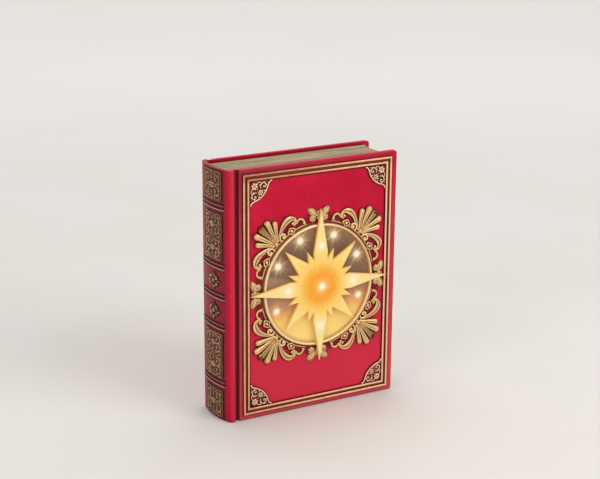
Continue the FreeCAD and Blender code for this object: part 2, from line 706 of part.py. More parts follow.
def make_rail(label, margin):
    """One rectangular rail of the gilt frame, with rounded crests."""
    body = new_body(label)
    loop = upright(body, label + "_loop", "places.front_y")
    for inset in (margin, margin + " + dims.rail_width"):
        rectangle(loop, "places.frame_left + " + inset, "places.frame_right - (" + inset + ")",
                  inset, "dims.book_height - (" + inset + ")")
    pad(body, loop, "dims.rail_rise")
    soften(body, on_plane("Y", size.front_y - size.rail_rise), "dims.rail_round")


def corner_steps(leg, sweep, tip):
    """Outline of a corner piece from the corner: two legs and a swelling ogee between them."""
    angle = math.atan2(tip * 2.2, sweep)
    low = (sweep * math.cos(angle), sweep * math.sin(angle))
    waist = (low[0] + (leg - low[0]) * 0.3, tip + (low[1] - tip) * 0.25)
    middle = sweep * math.sqrt(0.5)
    return (
        (leg, 0),
        (leg, tip),
        (waist[0], waist[1], low[0], low[1]),
        (middle, middle, low[1], low[0]),
        (waist[1], waist[0], tip, leg),
        (0, leg),
        (0, 0),
    )


def make_corner(label, side, end):
    """Corner piece in one corner of the inner rail: ground, rim and flower."""
    body = new_body(label)
    field = size.field_margin
    corner_x = size.frame_left + field if side > 0 else size.frame_right - field
    corner_z = field if end > 0 else size.book_height - field

    def settle(steps):
        return [tuple(v * (side if i % 2 == 0 else end) + (corner_x if i % 2 == 0 else corner_z)
                      for i, v in enumerate(step)) for step in steps]

    ground = upright(body, label + "_ground", "places.front_y")
    outer = corner_steps(size.corner_leg, size.corner_sweep, size.corner_tip)
    outline(ground, (corner_x, corner_z), settle(outer))
    pad(body, ground, "dims.corner_plate")
    rim = upright(body, label + "_rim", "places.front_y")
    outline(rim, (corner_x, corner_z), settle(outer))
    width = size.corner_rim
    inner = [tuple(v + width / 2 for v in step) for step in corner_steps(
        size.corner_leg - 2 * width, size.corner_sweep - 2 * width, size.corner_tip / 2)]
    outline(rim, settle([(width / 2, width / 2)])[0], settle(inner))
    pad(body, rim, "dims.corner_rise")
    petals = upright(body, label + "_petals", "places.front_y")
    hub_x = corner_x + side * size.flower_place
    hub_z = corner_z + end * size.flower_place
    flower_steps = []
    count = int(size.petal_count)
    notch = size.petal_ring * math.cos(math.pi / count)
    for petal in range(count):
        angle = 2 * math.pi * petal / count + math.pi / 2
        tip = size.petal_ring + size.petal_radius
        after = angle + math.pi / count
        flower_steps.append((hub_x + tip * math.cos(angle), hub_z + tip * math.sin(angle),
                             hub_x + notch * math.cos(after), hub_z + notch * math.sin(after)))
    outline(petals, flower_steps[-1][2:], flower_steps)
    pad(body, petals, "dims.corner_rise")


def make_spine_panel(label, low, high):
    """Gilt plate that follows the back of the spine between two heights."""
    body = new_body(label)
    plan = lay(body, label + "_plan", "XY_Plane", low)
    half = size.panel_width / 2
    crescent(plan, -size.panel_shift - half, -size.panel_shift + half, size.panel_seat, size.panel_rise)
    pad(body, plan, "%s - (%s)" % (high, low))


def make_spine_panels():
    """Two end panels and two tall panels between the bands."""
    middle = "dims.book_height / 2"
    runs = (
        ("dims.panel_end", middle + " - places.band_outer - dims.panel_gap"),
        (middle + " - places.band_outer + dims.panel_gap", middle + " - places.band_inner - dims.panel_gap"),
        (middle + " + places.band_inner + dims.panel_gap", middle + " + places.band_outer - dims.panel_gap"),
        (middle + " + places.band_outer + dims.panel_gap", "dims.book_height - dims.panel_end"),
    )
    for number, (low, high) in enumerate(runs, start=1):
        make_spine_panel("spine_panel_%d" % number, low, high)


def make_spine_medallion(label, direction):
    """Gilt lozenge with hollow sides between two bands."""
    body = new_body(label)
    half = size.medallion_size / 2
    height = size.book_height / 2 + direction * size.band_inner / 2
    level = "dims.book_height / 2 %s places.band_inner / 2 - dims.medallion_size / 2"
    plan = lay(body, label + "_plan", "XY_Plane", level % ("+" if direction > 0 else "-"))
    crescent(plan, -size.panel_shift - half, -size.panel_shift + half, size.panel_seat, size.panel_rise)
    pad(body, plan, "dims.medallion_size")
    frame = lay(body, label + "_frame", "YZ_Plane", "places.spine_centre_x")
    mid = size.middle_y - size.panel_shift
    far = half * 1.2
    outline(frame, (mid - far, height - far), (
        (mid + far, height - far), (mid + far, height + far),
        (mid - far, height + far), (mid - far, height - far)))
    bow = half * size.medallion_waist
    outline(frame, (mid + half, height), (
        (mid + bow, height + bow, mid, height + half),
        (mid - bow, height + bow, mid - half, height),
        (mid - bow, height - bow, mid, height - half),
        (mid + bow, height - bow, mid + half, height)))
    cut(body, frame)


# Gilt relief round the window, drawn round the middle of the window with -Y as its height

def relief_place():
    """Place of the relief: middle of the window on the face of the front board."""
    return Placement(Vector(size.window_x, size.front_y, size.window_height), Rotation())


def lobe(root, angle, length, root_radius, tip_radius):
    """Half of a drop lying on the board: a narrow root that swells to a round tip."""
    reach = length - tip_radius
    span = math.hypot(reach, root_radius)
    turn = math.pi - math.atan2(root_radius, reach) - math.acos(tip_radius / span)
    touch = Vector(reach + tip_radius * math.cos(turn), 0, tip_radius * math.sin(turn))
    shoulder = Vector(reach + tip_radius * math.cos(turn / 2), 0, tip_radius * math.sin(turn / 2))
    root_top = Vector(0, 0, root_radius)
    tip = Vector(length, 0, 0)
    edges = [
        Part.LineSegment(Vector(), tip).toShape(),
        Part.Arc(tip, shoulder, touch).toShape(),
        Part.LineSegment(touch, root_top).toShape(),
        Part.LineSegment(root_top, Vector()).toShape(),
    ]
    drop = Part.Face(Part.Wire(edges)).revolve(Vector(), Vector(1, 0, 0), 180)
    drop.Placement = Placement(Vector(root[0], 0, root[1]), Rotation(Vector(0, -1, 0), angle))
    return drop


def drop(reach, tip_radius):
    """Full drop on the X axis from a point at the origin to a round tip, as a cone and a ball."""
    ball = Part.makeSphere(tip_radius, Vector(reach, 0, 0))
    cone = Part.makeCone(0, tip_radius, reach, Vector(), Vector(1, 0, 0))
    return cone.fuse(ball)


def leaf(root, angle, length, half_width, rise):
    """Flat spindle lying on the board, pointed at both ends: its axis lies below the board."""
    belly = (half_width ** 2 + rise ** 2) / (2 * rise)
    tip = Vector(length, 0, 0)
    back = Part.Arc(Vector(), Vector(length / 2, 0, belly), tip).toShape()
    edges = [back, Part.LineSegment(tip, Vector()).toShape()]
    spindle = Part.Face(Part.Wire(edges)).revolve(Vector(), Vector(1, 0, 0), 360)
    spindle.Placement = Placement(Vector(root[0], belly - rise, root[1]), Rotation(Vector(0, -1, 0), angle))
    return on_board(spindle)


def button(middle, radius, rise):
    """Low cap of a ball lying on the board."""
    ball = (radius ** 2 + rise ** 2) / (2 * rise)
    return on_board(Part.makeSphere(ball, Vector(middle[0], ball - rise, middle[1])))


def bead(middle, radius):
    """Half ball lying on the board."""
    ball = Part.makeSphere(radius, Vector(middle[0], 0, middle[1]))
    return on_board(ball)


def on_board(shape):
    """The part of a shape that stands in front of the board."""
    box = shape.BoundBox
    room = Part.makeBox(box.XLength + 2, box.YLength + 2, box.ZLength + 2,
                        Vector(box.XMin - 1, -box.YLength - 2, box.ZMin - 1))
    return shape.common(room)


def joined(pieces):
    """Fuse pieces one after another."""
    whole = pieces[0]
    for piece in pieces[1:]:
        whole = whole.fuse(piece)
    return whole.removeSplitter()


def ring_section(middle, along, radius):
    """Circle across a path in the plane of the board."""
    loop = Part.makeCircle(radius, Vector(), Vector(0, 0, 1))
    heading = math.degrees(math.atan2(along[1], along[0]))
    turn = Rotation(Vector(0, -1, 0), heading).multiply(Rotation(Vector(0, 1, 0), 90))
    loop.Placement = Placement(Vector(middle[0], 0, middle[1]), turn)
    return Part.Wire([loop])


def scroll(eye, start, turns, tightness, width):
    """C-scroll: a hyperbolic spiral that swells on the way and winds into its eye.

    The eye and the start are points on the board, turns is the sweep in degrees,
    and tightness is how far back the spiral's own zero lies, in degrees."""
    from_eye = (start[0] - eye[0], start[1] - eye[1])
    start_radius = math.hypot(*from_eye)
    start_angle = math.atan2(from_eye[1], from_eye[0])
    sweep = math.radians(turns)
    zero = math.radians(tightness)
    direction = 1 if sweep > 0 else -1

    def point(share):
        turned = abs(sweep) * share
        radius = start_radius * zero / (zero + turned)
        angle = start_angle + direction * turned
        return (eye[0] + radius * math.cos(angle), eye[1] + radius * math.sin(angle))

    sections = []
    steps = 18
    for step in range(steps + 1):
        share = step / steps
        before = point(share - 0.01)
        after = point(share + 0.01)
        along = (after[0] - before[0], after[1] - before[1])
        swell = width * (0.42 + 0.58 * math.sin(math.pi * min(1, share * 1.6 + 0.1)) ** 2)
        if share > 0.5:
            swell = width * (0.42 + 0.22 * (1 - share))
        sections.append(ring_section(point(share), along, swell))
    horn = Part.makeLoft(sections, True, True)
    return on_board(horn).fuse(bead(eye, size.scroll_eye))


def bow(first, middle, last, width):
    """Half-round bar along an arc through three points, with beaded ends."""
    path = Part.Arc(*[Vector(p[0], 0, p[1]) for p in (first, middle, last)]).toShape()
    tangent = path.tangentAt(path.FirstParameter)
    section = ring_section(first, (tangent.x, tangent.z), width)
    bar = Part.Wire([path]).makePipeShell([section], True, True)
    return on_board(bar)


def hoop_point(degrees, radius):
    """Point at a radius from the middle of the window."""
    return (radius * math.cos(math.radians(degrees)), radius * math.sin(math.radians(degrees)))


def lozenge(degrees):
    """Raised lozenge frame with a bead, on the hoop at a given angle."""
    middle = hoop_point(degrees, size.bezel_radius + size.hoop_gap + size.hoop_width)
    solids = []
    for share, height in ((1.0, size.lozenge_rise), (0.55, size.lozenge_rise * 2)):
        across = size.lozenge_across / 2 * share
        along = size.lozenge_along / 2 * share
        corners = [Vector(across, 0, 0), Vector(0, 0, along), Vector(-across, 0, 0), Vector(0, 0, -along)]
        face = Part.Face(Part.makePolygon(corners + corners[:1]))
        solids.append(face.extrude(Vector(0, -height, 0)))
    ring = solids[0].cut(solids[1])
    ring.Placement = Placement(Vector(middle[0], 0, middle[1]), Rotation(Vector(0, -1, 0), degrees))
    return ring.fuse(bead(middle, size.hoop_width * 1.35))


def outside(place):
    """Point given in degrees and in hundredths of the bezel radius outside the bezel."""
    return hoop_point(place[0], size.bezel_radius * (1 + place[1] / 100))


def swapped(point):
    """Mirror image of a point in the diagonal."""
    return (point[1], point[0])


def scoop(root):
    """Hollow lobe in the middle of a shell fan."""
    reach = size.scoop_length - size.scoop_radius
    hollow = drop(reach, size.scoop_hollow)
    lift = size.scoop_hollow + size.scoop_floor
    hollow.Placement = Placement(Vector(root[0], -lift, root[1]), Rotation(Vector(0, -1, 0), 45))
    return lobe(root, 45, size.scoop_length, size.shell_stem, size.scoop_radius).cut(hollow)


def shell_shape():
    """Shell fan of the upper right quarter with its scrolls, hoop and lozenges."""
    root = hoop_point(45, size.bezel_radius + size.shell_gap)
    pieces = []
    for step, share in ((-2, size.shell_taper), (-1, 1), (1, 1), (2, size.shell_taper)):
        pieces.append(lobe(root, 45 + step * size.shell_spread, size.shell_length * share,
                           size.shell_stem, size.shell_lobe * share))
    pieces.append(scoop(root))
    knuckle = hoop_point(45, size.bezel_radius + size.shell_gap + size.shell_knuckle)
    pieces.append(bead(knuckle, size.shell_knuckle))
    hoop = [hoop_point(angle, size.bezel_radius + size.hoop_gap)
            for angle in (size.hoop_end, 45, 90 - size.hoop_end)]
    pieces.append(bow(*hoop, size.hoop_width))
    eye = outside(SCROLL_EYE)
    start = outside(SCROLL_START)
    pieces.append(scroll(eye, start, size.scroll_turn, size.scroll_tight, size.scroll_width))
    pieces.append(scroll(swapped(eye), swapped(start), -size.scroll_turn, size.scroll_tight,
                         size.scroll_width))
    for turn in (tuple, swapped):
        tendril = [turn(outside(place)) for place in TENDRIL]
        pieces.append(bow(*tendril, size.tendril_width))
        pieces.append(bead(tendril[-1], size.scroll_eye))
    pieces.append(lozenge(size.lozenge_angle))
    pieces.append(lozenge(90 - size.lozenge_angle))
    return joined(pieces)


def make_shells():
    """The same shell mirrored into the four quarters."""
    base = shell_shape()
    flip_x = base.mirror(Vector(), Vector(1, 0, 0))
    for label, shape in (
        ("shell_top_right", base),
        ("shell_top_left", flip_x),
        ("shell_bottom_right", base.mirror(Vector(), Vector(0, 0, 1))),
        ("shell_bottom_left", flip_x.mirror(Vector(), Vector(0, 0, 1))),
    ):
        new_shape(label, shape, relief_place())


def rosette_shape(leaf_angle):
    """Flower with a petal on each side and one on top, and a broad leaf above each side petal."""
    distance = size.bezel_radius + size.rosette_gap
    pieces = [button((0, distance), size.rosette_bead, size.petal_rise)]
    for angle, reach in ((0, size.petal_reach), (90, size.crest_reach), (180, size.petal_reach)):
        across, height = hoop_point(angle, reach)
        pieces.append(button((across, distance + height), size.petal_size, size.petal_rise))
    for angle in (leaf_angle, 180 - leaf_angle):
        pieces.append(leaf((0, distance), angle, size.leaf_length, size.leaf_width, size.petal_rise))
    return joined(pieces)


def make_rosettes():
    """Four rosettes on the axes of the window."""
    for label, degrees, leaf_angle in (
        ("rosette_top", 0, size.leaf_rise),
        ("rosette_left", 90, size.leaf_low),
        ("rosette_bottom", 180, size.leaf_rise),
        ("rosette_right", 270, size.leaf_low),
    ):
        place = relief_place().multiply(Placement(Vector(), Rotation(Vector(0, -1, 0), degrees)))
        new_shape(label, rosette_shape(leaf_angle), place)


# Window, star and lamps

def make_bezel():
    """Moulded ring that laps over the edge of the lens."""
    body = new_body("window_bezel")
    profile = lay(body, "bezel_profile", "XY_Plane")
    inner = size.bezel_bore
    outer = size.bezel_radius
    width = size.bezel_width
    rise = size.bezel_rise
    outline(profile, (inner, 0), (
        (outer, 0),
        (outer, -0.35 * rise),
        (outer - 0.13 * width, -0.86 * rise, outer - 0.5 * width, -rise),
        (inner + 0.16 * width, -0.86 * rise, inner, -0.5 * rise),
        (inner, 0),
    ))
    revolve(body, profile, "Y_Axis")
    place_body(body, "places.window_x", "places.front_y", "places.window_height")


def make_lens():
    """Round pane that sits flush in the front board under the bezel."""
    body = new_body("window_lens")
    disc = upright(body, "lens_disc", "places.front_y")
    circle(disc, "places.window_x", "places.window_height", "places.lens_radius")
    pad(body, disc, "dims.lens_thick", True)


def star_points():
    """Corners of the star, eight times from one ray to the next."""
    belly_angle = math.degrees(math.atan2(size.star_ray / 2, size.star_belly))
    belly = math.hypot(size.star_ray / 2, size.star_belly)
    quarter = [
        (0, size.star_long),
        (belly_angle, belly),
        (22.5 - size.star_notch, size.star_valley),
        (22.5, size.star_short),
        (22.5 + size.star_notch, size.star_valley),
        (45, size.star_middle),
    ]
    back = [(90 - angle, radius) for angle, radius in reversed(quarter[1:-1])]
    points = []
    for turn in range(4):
        points += [hoop_point(angle + 90 * turn, radius) for angle, radius in quarter + back]
    return points


def make_star():
    """Star of sixteen rays with a crowned middle, on a hub that stands on the lens."""
    body = new_body("star")
    rays = lay(body, "star_rays", "XZ_Plane", "places.star_base")
    corners = star_points()
    outline(rays, corners[-1], corners)
    pad(body, rays, "dims.star_thick")
    soften(body, on_plane("Y", -(size.star_base + size.star_thick)), "dims.star_round",
           "PartDesign::Chamfer")
    crown = lay(body, "star_crown", "XY_Plane")
    top = size.star_base + size.star_thick
    rim = size.star_valley * 0.94
    height = size.star_crown
    ball = (rim ** 2 + height ** 2) / (2 * height)
    half_way = rim / 2
    swell = math.sqrt(ball ** 2 - half_way ** 2) - (ball - height)
    outline(crown, (0, -size.star_base), (
        (rim, -size.star_base),
        (rim, -top),
        (half_way, -top - swell, 0, -top - height),
        (0, -size.star_base),
    ))
    revolve(body, crown, "Y_Axis")
    hub = lay(body, "star_hub", "XZ_Plane")
    circle(hub, "0", "0", "places.star_hub")
    pad(body, hub, "places.star_base")
    place_body(body, "places.window_x", "places.front_y", "places.window_height")


def lamp_places():
    """Names and places of the eleven lamps from the middle of the window."""
    lamps = [("led_centre", (0.0, 0.0))]
    for number in range(4):
        lamps.append(("led_ray_%d" % (number + 1), hoop_point(90 * number, size.led_ray)))
    for number, degrees in enumerate(WINDOW_LAMPS):
        lamps.append(("led_window_%d" % (number + 1), hoop_point(degrees, size.led_window)))
    return lamps


def make_tray():
    """Reflector cup behind the lens, with a flange on the front board and a hole for each lamp."""
    body = new_body("light_tray")
    profile = lay(body, "tray_profile", "XY_Plane")
    depth = size.tray_depth
    wall = size.tray_wall
    bore = size.tray_bore
    outline(profile, (0, depth - wall), (
        (bore, depth - wall),
        (bore, 0),
        (size.tray_lip, 0),
        (size.tray_lip, wall),
        (bore + wall, wall),
        (bore + wall, depth),
        (0, depth),
        (0, depth - wall),
    ))
    revolve(body, profile, "Y_Axis")
    holes = lay(body, "lamp_holes", "XZ_Plane")
    for _, (across, height) in lamp_places():
        circle(holes, repr(across), repr(height), "dims.led_radius + dims.screw_gap")
    cut(body, holes)
    screw_holes = lay(body, "tray_screw_holes", "XZ_Plane")
    diagonal = "places.tray_screw * %.9f" % math.sqrt(0.5)
    corners = [(sx + diagonal, sz + diagonal) for sx in ("", "-") for sz in ("", "-")]
    circles(screw_holes, corners, "dims.screw_core + dims.head_gap")
    cut(body, screw_holes)
    place_body(body, "places.window_x", "places.inner_front_y", "places.window_height")


def make_lamps():
    """Round lamps pushed through the tray from behind, with two legs each."""
    for label, (across, height) in lamp_places():
        body = new_body(label)
        profile = lay(body, label + "_profile", "XY_Plane")
        dome = size.led_length - size.led_radius - size.led_foot
        lean = size.led_radius * math.sqrt(0.5)
        outline(profile, (0, size.led_foot), (
            (size.led_flange, size.led_foot),
            (size.led_flange, 0),
            (size.led_radius, 0),
            (size.led_radius, -dome),
            (lean, -dome - lean, 0, -dome - size.led_radius),
            (0, size.led_foot),
        ))
        revolve(body, profile, "Y_Axis")
        legs = upright(body, label + "_legs", "dims.led_foot")
        for side in ("-", ""):
            circle(legs, side + "dims.led_legs / 2", "0", "dims.leg_radius")
        pad(body, legs, "dims.leg_length", True)
        place_body(body, "places.window_x + %r" % across, "places.tray_floor_y",
                   "places.window_height + %r" % height)


# Wires

def tube(points, bend, radius):
    """Wire along straight runs with round bends, its ends square to the first and last runs."""
    edges = []
    here = points[0]
    for before, corner, after in zip(points, points[1:], points[2:]):
        back = (before - corner).normalize()
        ahead = (after - corner).normalize()
        half = back.getAngle(ahead) / 2
        tangent = bend / math.tan(half)
        middle = (back + ahead).normalize()
        rest = bend / math.sin(half) - bend
        enter = corner + back * tangent
        leave = corner + ahead * tangent
        edges.append(Part.LineSegment(here, enter).toShape())
        edges.append(Part.Arc(enter, corner + middle * rest, leave).toShape())
        here = leave
    edges.append(Part.LineSegment(here, points[-1]).toShape())
    heading = points[1] - points[0]
    section = Part.Wire([Part.makeCircle(radius, points[0], heading)])
    path = Part.Wire(edges)
    solid = path.makePipeShell([section], True, False)
    drift = solid.Volume / (math.pi * radius ** 2 * path.Length) - 1
    print("wire: length %.1f mm, volume off by %.5f" % (path.Length, drift))
    return solid


def make_lamp_string():
    """One wire from the timer board past the legs of every lamp."""
    order = ("led_centre", "led_ray_4", "led_window_5", "led_ray_3", "led_window_4", "led_window_3",
             "led_ray_2", "led_window_2", "led_window_1", "led_ray_1", "led_window_6")
    lamps = dict(lamp_places())
    start_x = size.battery_x
    start_z = size.board_height + size.board_tall / 4
    points = [Vector(start_x, size.timer_front_y, start_z), Vector(start_x, size.string_y, start_z)]
    for label in order:
        across, height = lamps[label]
        points.append(Vector(size.window_x + across, size.string_y, size.window_height + height))
    new_shape("led_string", tube(points, 3 * size.wire_radius, size.wire_radius))


def make_leads():
    """Red and black lead from the contact tails to the timer board."""
    run_y = size.tail_y - size.lead_drop
    for label, side, cell in (("lead_red", 1, 1), ("lead_black", -1, -1)):
        tail_x = contact_x(side)
        tail_z = size.battery_height + cell * size.cell_pitch
        pad_x = size.battery_x + side * size.board_width / 4
        pad_z = size.board_height - size.board_tall / 4
        points = [
            Vector(tail_x, size.tail_y, tail_z),
            Vector(tail_x, run_y, tail_z),
            Vector(pad_x, run_y, pad_z),
            Vector(pad_x, size.timer_front_y, pad_z),
        ]
        new_shape(label, tube(points, 6 * size.lead_radius, size.lead_radius))


# Battery box, cells, contacts and door

def contact_x(side):
    """Middle of the contact metal at one end of the bay."""
    return size.battery_x + side * (size.bay_width / 2 - size.contact_sheet / 2)


def make_battery_box():
    """Open box with a screwed flange on the back board, cradle ribs and slots for the contact tails."""
    body = new_body("battery_box")
    shell = upright(body, "box_shell", "places.inner_back_y")
    rectangle(shell, "places.bay_left - dims.box_wall", "places.bay_right + dims.box_wall",
              "places.bay_low - dims.box_wall", "places.bay_high + dims.box_wall")
    pad(body, shell, "places.box_depth + dims.box_wall")
    flange = upright(body, "box_flange", "places.inner_back_y")
    rectangle(flange, "places.bay_left - dims.box_wall - dims.box_flange",
              "places.bay_right + dims.box_wall + dims.box_flange",
              "places.battery_height - places.bay_tall / 2.4",
              "places.battery_height + places.bay_tall / 2.4")
    pad(body, flange, "dims.box_wall")
    room = upright(body, "box_room", "places.inner_back_y")
    rectangle(room, "places.bay_left", "places.bay_right", "places.bay_low", "places.bay_high")
    cut(body, room, "places.box_depth", True)
    holes = upright(body, "box_screw_holes", "places.inner_back_y")
    circles(holes, box_screw_places(), "dims.screw_core + dims.head_gap")
    cut(body, holes, "dims.box_wall", True)
    slots = upright(body, "tail_slots", "places.bay_floor_y")
    for side, cell in (("+", "+"), ("-", "-")):
        middle_x = "places.battery_x %s (places.bay_width / 2 - dims.contact_sheet / 2)" % side
        middle_z = "places.battery_height %s places.cell_pitch" % cell
        block(slots, middle_x, middle_z, "(dims.contact_sheet + dims.fit_gap)",
              "(dims.contact_side / 3 + dims.fit_gap)")
    cut(body, slots, None, True)


def make_cells():
    """Three AA cells side by side, turned end for end in turn."""
    for number in range(int(size.cell_count)):
        label = "battery_cell_%d" % (number + 1)
        body = new_body(label)
        profile = lay(body, label + "_profile", "XY_Plane")
        can = size.cell_can
        edge = size.cell_gap
        outline(profile, (0, 0), (
            (0, size.cell_radius - edge),
            (edge * 0.3, size.cell_radius - edge * 0.3, edge, size.cell_radius),
            (can - edge, size.cell_radius),
            (can - edge * 0.3, size.cell_radius - edge * 0.3, can, size.cell_radius - edge),
            (can, size.nipple_radius),
            (can + size.nipple_height, size.nipple_radius),
            (can + size.nipple_height, 0),
            (0, 0),
        ))
        revolve(body, profile, "X_Axis")
        step = number - (size.cell_count - 1) / 2
        forward = number % 2 == 0
        body.Placement = Placement(Vector(), Rotation(Vector(0, 0, 1), 0 if forward else 180))
        place_body(body, "places.battery_x %s places.cell_length / 2" % ("-" if forward else "+"),
                   "places.cell_y", "places.battery_height + %r * places.cell_pitch" % step)


def contact_plate(body, name, side, low, high):
    """Sheet metal plate against one end of the bay."""
    wall = "places.bay_right" if side > 0 else "places.bay_left"
    sheet = lay(body, name, "YZ_Plane", wall)
    rectangle(sheet, "places.bay_floor_y", "places.bay_floor_y + 2 * dims.cell_radius", low, high)
    pad(body, sheet, "dims.contact_sheet", side > 0)


def contact_spring(body, name, side, cell):
    """Bowed leaf that presses on the flat end of a cell."""
    level = "places.battery_height + %d * places.cell_pitch - dims.contact_side / 4" % cell
    leaf = lay(body, name, "XY_Plane", level)
    wall = size.bay_right if side > 0 else size.bay_left
    root = wall - side * size.contact_sheet
    crest = wall - side * (size.contact_room - size.screw_gap)
    thick = -side * size.contact_sheet
    half = size.contact_side * 0.42
    mid = size.cell_y
    outline(leaf, (root, mid - half), (
        (crest, mid, root, mid + half),
        (root, mid + half - 2 * size.contact_sheet),
        (crest - thick, mid, root, mid - half + 2 * size.contact_sheet),
        (root, mid - half),
    ))
    pad(body, leaf, "dims.contact_side / 2")


def contact_button(body, name, side, cell):
    """Round stud that meets the nipple of a cell."""
    wall = "places.bay_right" if side > 0 else "places.bay_left"
    stud = lay(body, name, "YZ_Plane", wall)
    circle(stud, "places.cell_y", "places.battery_height + %d * places.cell_pitch" % cell,
           "dims.nipple_radius")
    pad(body, stud, "dims.contact_room - dims.screw_gap", side > 0)


def contact_tail(body, name, side, cell):
    """Solder tail through the floor of the box."""
    wall = "places.bay_right" if side > 0 else "places.bay_left"
    tail = lay(body, name, "YZ_Plane", wall)
    middle = "places.battery_height + %d * places.cell_pitch" % cell
    rectangle(tail, "places.tail_y",
              "places.bay_floor_y + dims.contact_sheet",
              middle + " - dims.contact_side / 6", middle + " + dims.contact_side / 6")
    pad(body, tail, "dims.contact_sheet", side > 0)


def cell_span(first, last):
    """Height limits of a contact plate over one or two cells."""
    low = "places.battery_height + %d * places.cell_pitch - dims.contact_side / 2" % first
    high = "places.battery_height + %d * places.cell_pitch + dims.contact_side / 2" % last
    return low, high


def make_contacts():
    """Two end contacts and two bridges that put the cells in series."""
    positive = new_body("contact_positive")
    contact_plate(positive, "positive_plate", 1, *cell_span(1, 1))
    contact_button(positive, "positive_button", 1, 1)
    contact_tail(positive, "positive_tail", 1, 1)
    negative = new_body("contact_negative")
    contact_plate(negative, "negative_plate", -1, *cell_span(-1, -1))
    contact_spring(negative, "negative_leaf", -1, -1)
    contact_tail(negative, "negative_tail", -1, -1)
    left = new_body("contact_bridge_left")
    contact_plate(left, "left_plate", -1, *cell_span(0, 1))
    contact_button(left, "left_button", -1, 0)
    contact_spring(left, "left_leaf", -1, 1)
    right = new_body("contact_bridge_right")
    contact_plate(right, "right_plate", 1, *cell_span(-1, 0))
    contact_button(right, "right_button", 1, -1)
    contact_spring(right, "right_leaf", 1, 0)


def make_door():
    """Door with a rounded hinge edge, two pins and a spring tongue at its foot."""
    body = new_body("battery_door")
    side = lay(body, "door_side", "YZ_Plane", "places.bay_left - dims.door_lap")
    outer = size.back_y
    inner = size.seat_y
    outline(side, (inner, size.door_low), (
        (outer, size.door_low),
        (outer, size.hinge_z),
        (size.hinge_y, size.door_top, inner, size.hinge_z),
        (inner, size.door_low),
    ))
    pad(body, side, "places.bay_width + 2 * dims.door_lap")
    pins = lay(body, "door_pins", "YZ_Plane", "places.bay_left - dims.door_lap - dims.pin_length")
    circle(pins, "places.hinge_y", "places.hinge_z", "dims.pin_radius")
    pad(body, pins, "places.bay_width + 2 * dims.door_lap + 2 * dims.pin_length")
    slits = upright(body, "tongue_slits", "places.back_y")
    for sign in "-+":
        middle = "places.battery_x %s dims.tongue_width / 2" % sign
        rectangle(slits, middle + " - dims.tongue_slit / 2", middle + " + dims.tongue_slit / 2",
                  "places.door_low - dims.tongue_slit", "places.door_low + dims.tongue_length")
    cut(body, slits, None, True)
    grips = upright(body, "tongue_grips", "places.back_y")
    for number in (1, 2, 3):
        level = "places.door_low + %d * dims.tongue_length / 4" % number
        rectangle(grips, "places.battery_x - dims.tongue_width / 3",
                  "places.battery_x + dims.tongue_width / 3",
                  level + " - dims.tongue_slit / 2", level + " + dims.tongue_slit / 2")
    cut(body, grips, "dims.tongue_slit / 2", True)


# Timer board and switch

def make_timer():
    """Printed board on two posts, its chip, and the slide switch with its knob."""
    board = new_body("timer_board")
    sheet = upright(board, "board_sheet", "places.timer_y")
    block(sheet, "places.battery_x", "places.board_height", "dims.board_width", "dims.board_tall")
    pad(board, sheet, "dims.board_sheet")
    holes = upright(board, "board_holes", "places.timer_y")
    circles(holes, post_places(), "dims.screw_core + dims.head_gap")
    cut(board, holes, None, True)
    chip = new_body("timer_chip")
    die = upright(chip, "chip_outline", "places.timer_front_y")
    block(die, "places.battery_x", "places.board_height - dims.board_tall / 4", "dims.chip_width",
          "dims.chip_tall")
    pad(chip, die, "dims.chip_deep")
    switch = new_body("switch_body")
    can = upright(switch, "switch_can", "places.timer_y")
    block(can, "places.battery_x", "places.board_height", "dims.switch_width", "dims.switch_tall")
    pad(switch, can, "dims.switch_deep", True)
    slot = upright(switch, "switch_channel", "places.switch_top_y")
    block(slot, "places.battery_x", "places.board_height", "places.knob_room", "places.knob_slot")
    cut(switch, slot, "dims.knob_foot + dims.slide_gap", True)


def make_knob():
    """Knob at the lit end of its travel, with a ridged top."""
    body = new_body("switch_knob")
    stem = upright(body, "knob_stem", "places.switch_top_y - dims.knob_foot")
    block(stem, "places.battery_x - dims.knob_travel / 2", "places.board_height", "dims.knob_width",
          "dims.knob_tall")
    pad(body, stem, "places.back_y - dims.knob_sunk - places.switch_top_y + dims.knob_foot", True)
    ridges = upright(body, "knob_ridges", "places.back_y - dims.knob_sunk")
    for step in (-1, 0, 1):
        middle = "places.battery_x - dims.knob_travel / 2 + %d * dims.knob_width / 3.6" % step
        rectangle(ridges, middle + " - dims.knob_width / 14", middle + " + dims.knob_width / 14",
                  "places.board_height - dims.knob_tall", "places.board_height + dims.knob_tall")
    cut(body, ridges, "dims.knob_width / 10", True)


# Fasteners

def make_screws(label, middles, seat_y, length, forward):
    """Group of screws: heads on one plane and plain shanks, driven to the front or to the back."""
    heads = []
    for across, height in middles:
        along = Vector(0, -1 if forward else 1, 0)
        seat = Vector(across, seat_y, height)
        head = Part.makeCylinder(size.screw_head, size.head_thick, seat, along * -1)
        rim = [edge for edge in head.Edges if abs(edge.CenterOfMass.y - seat_y) > size.head_thick / 2
               and edge.Curve.TypeId == "Part::GeomCircle"]
        head = head.makeFillet(size.head_thick / 3, rim)
        shank = Part.makeCylinder(size.screw_core, length, seat, along)
        heads.append(head.fuse(shank).removeSplitter())
    new_shape(label, Part.makeCompound(heads))


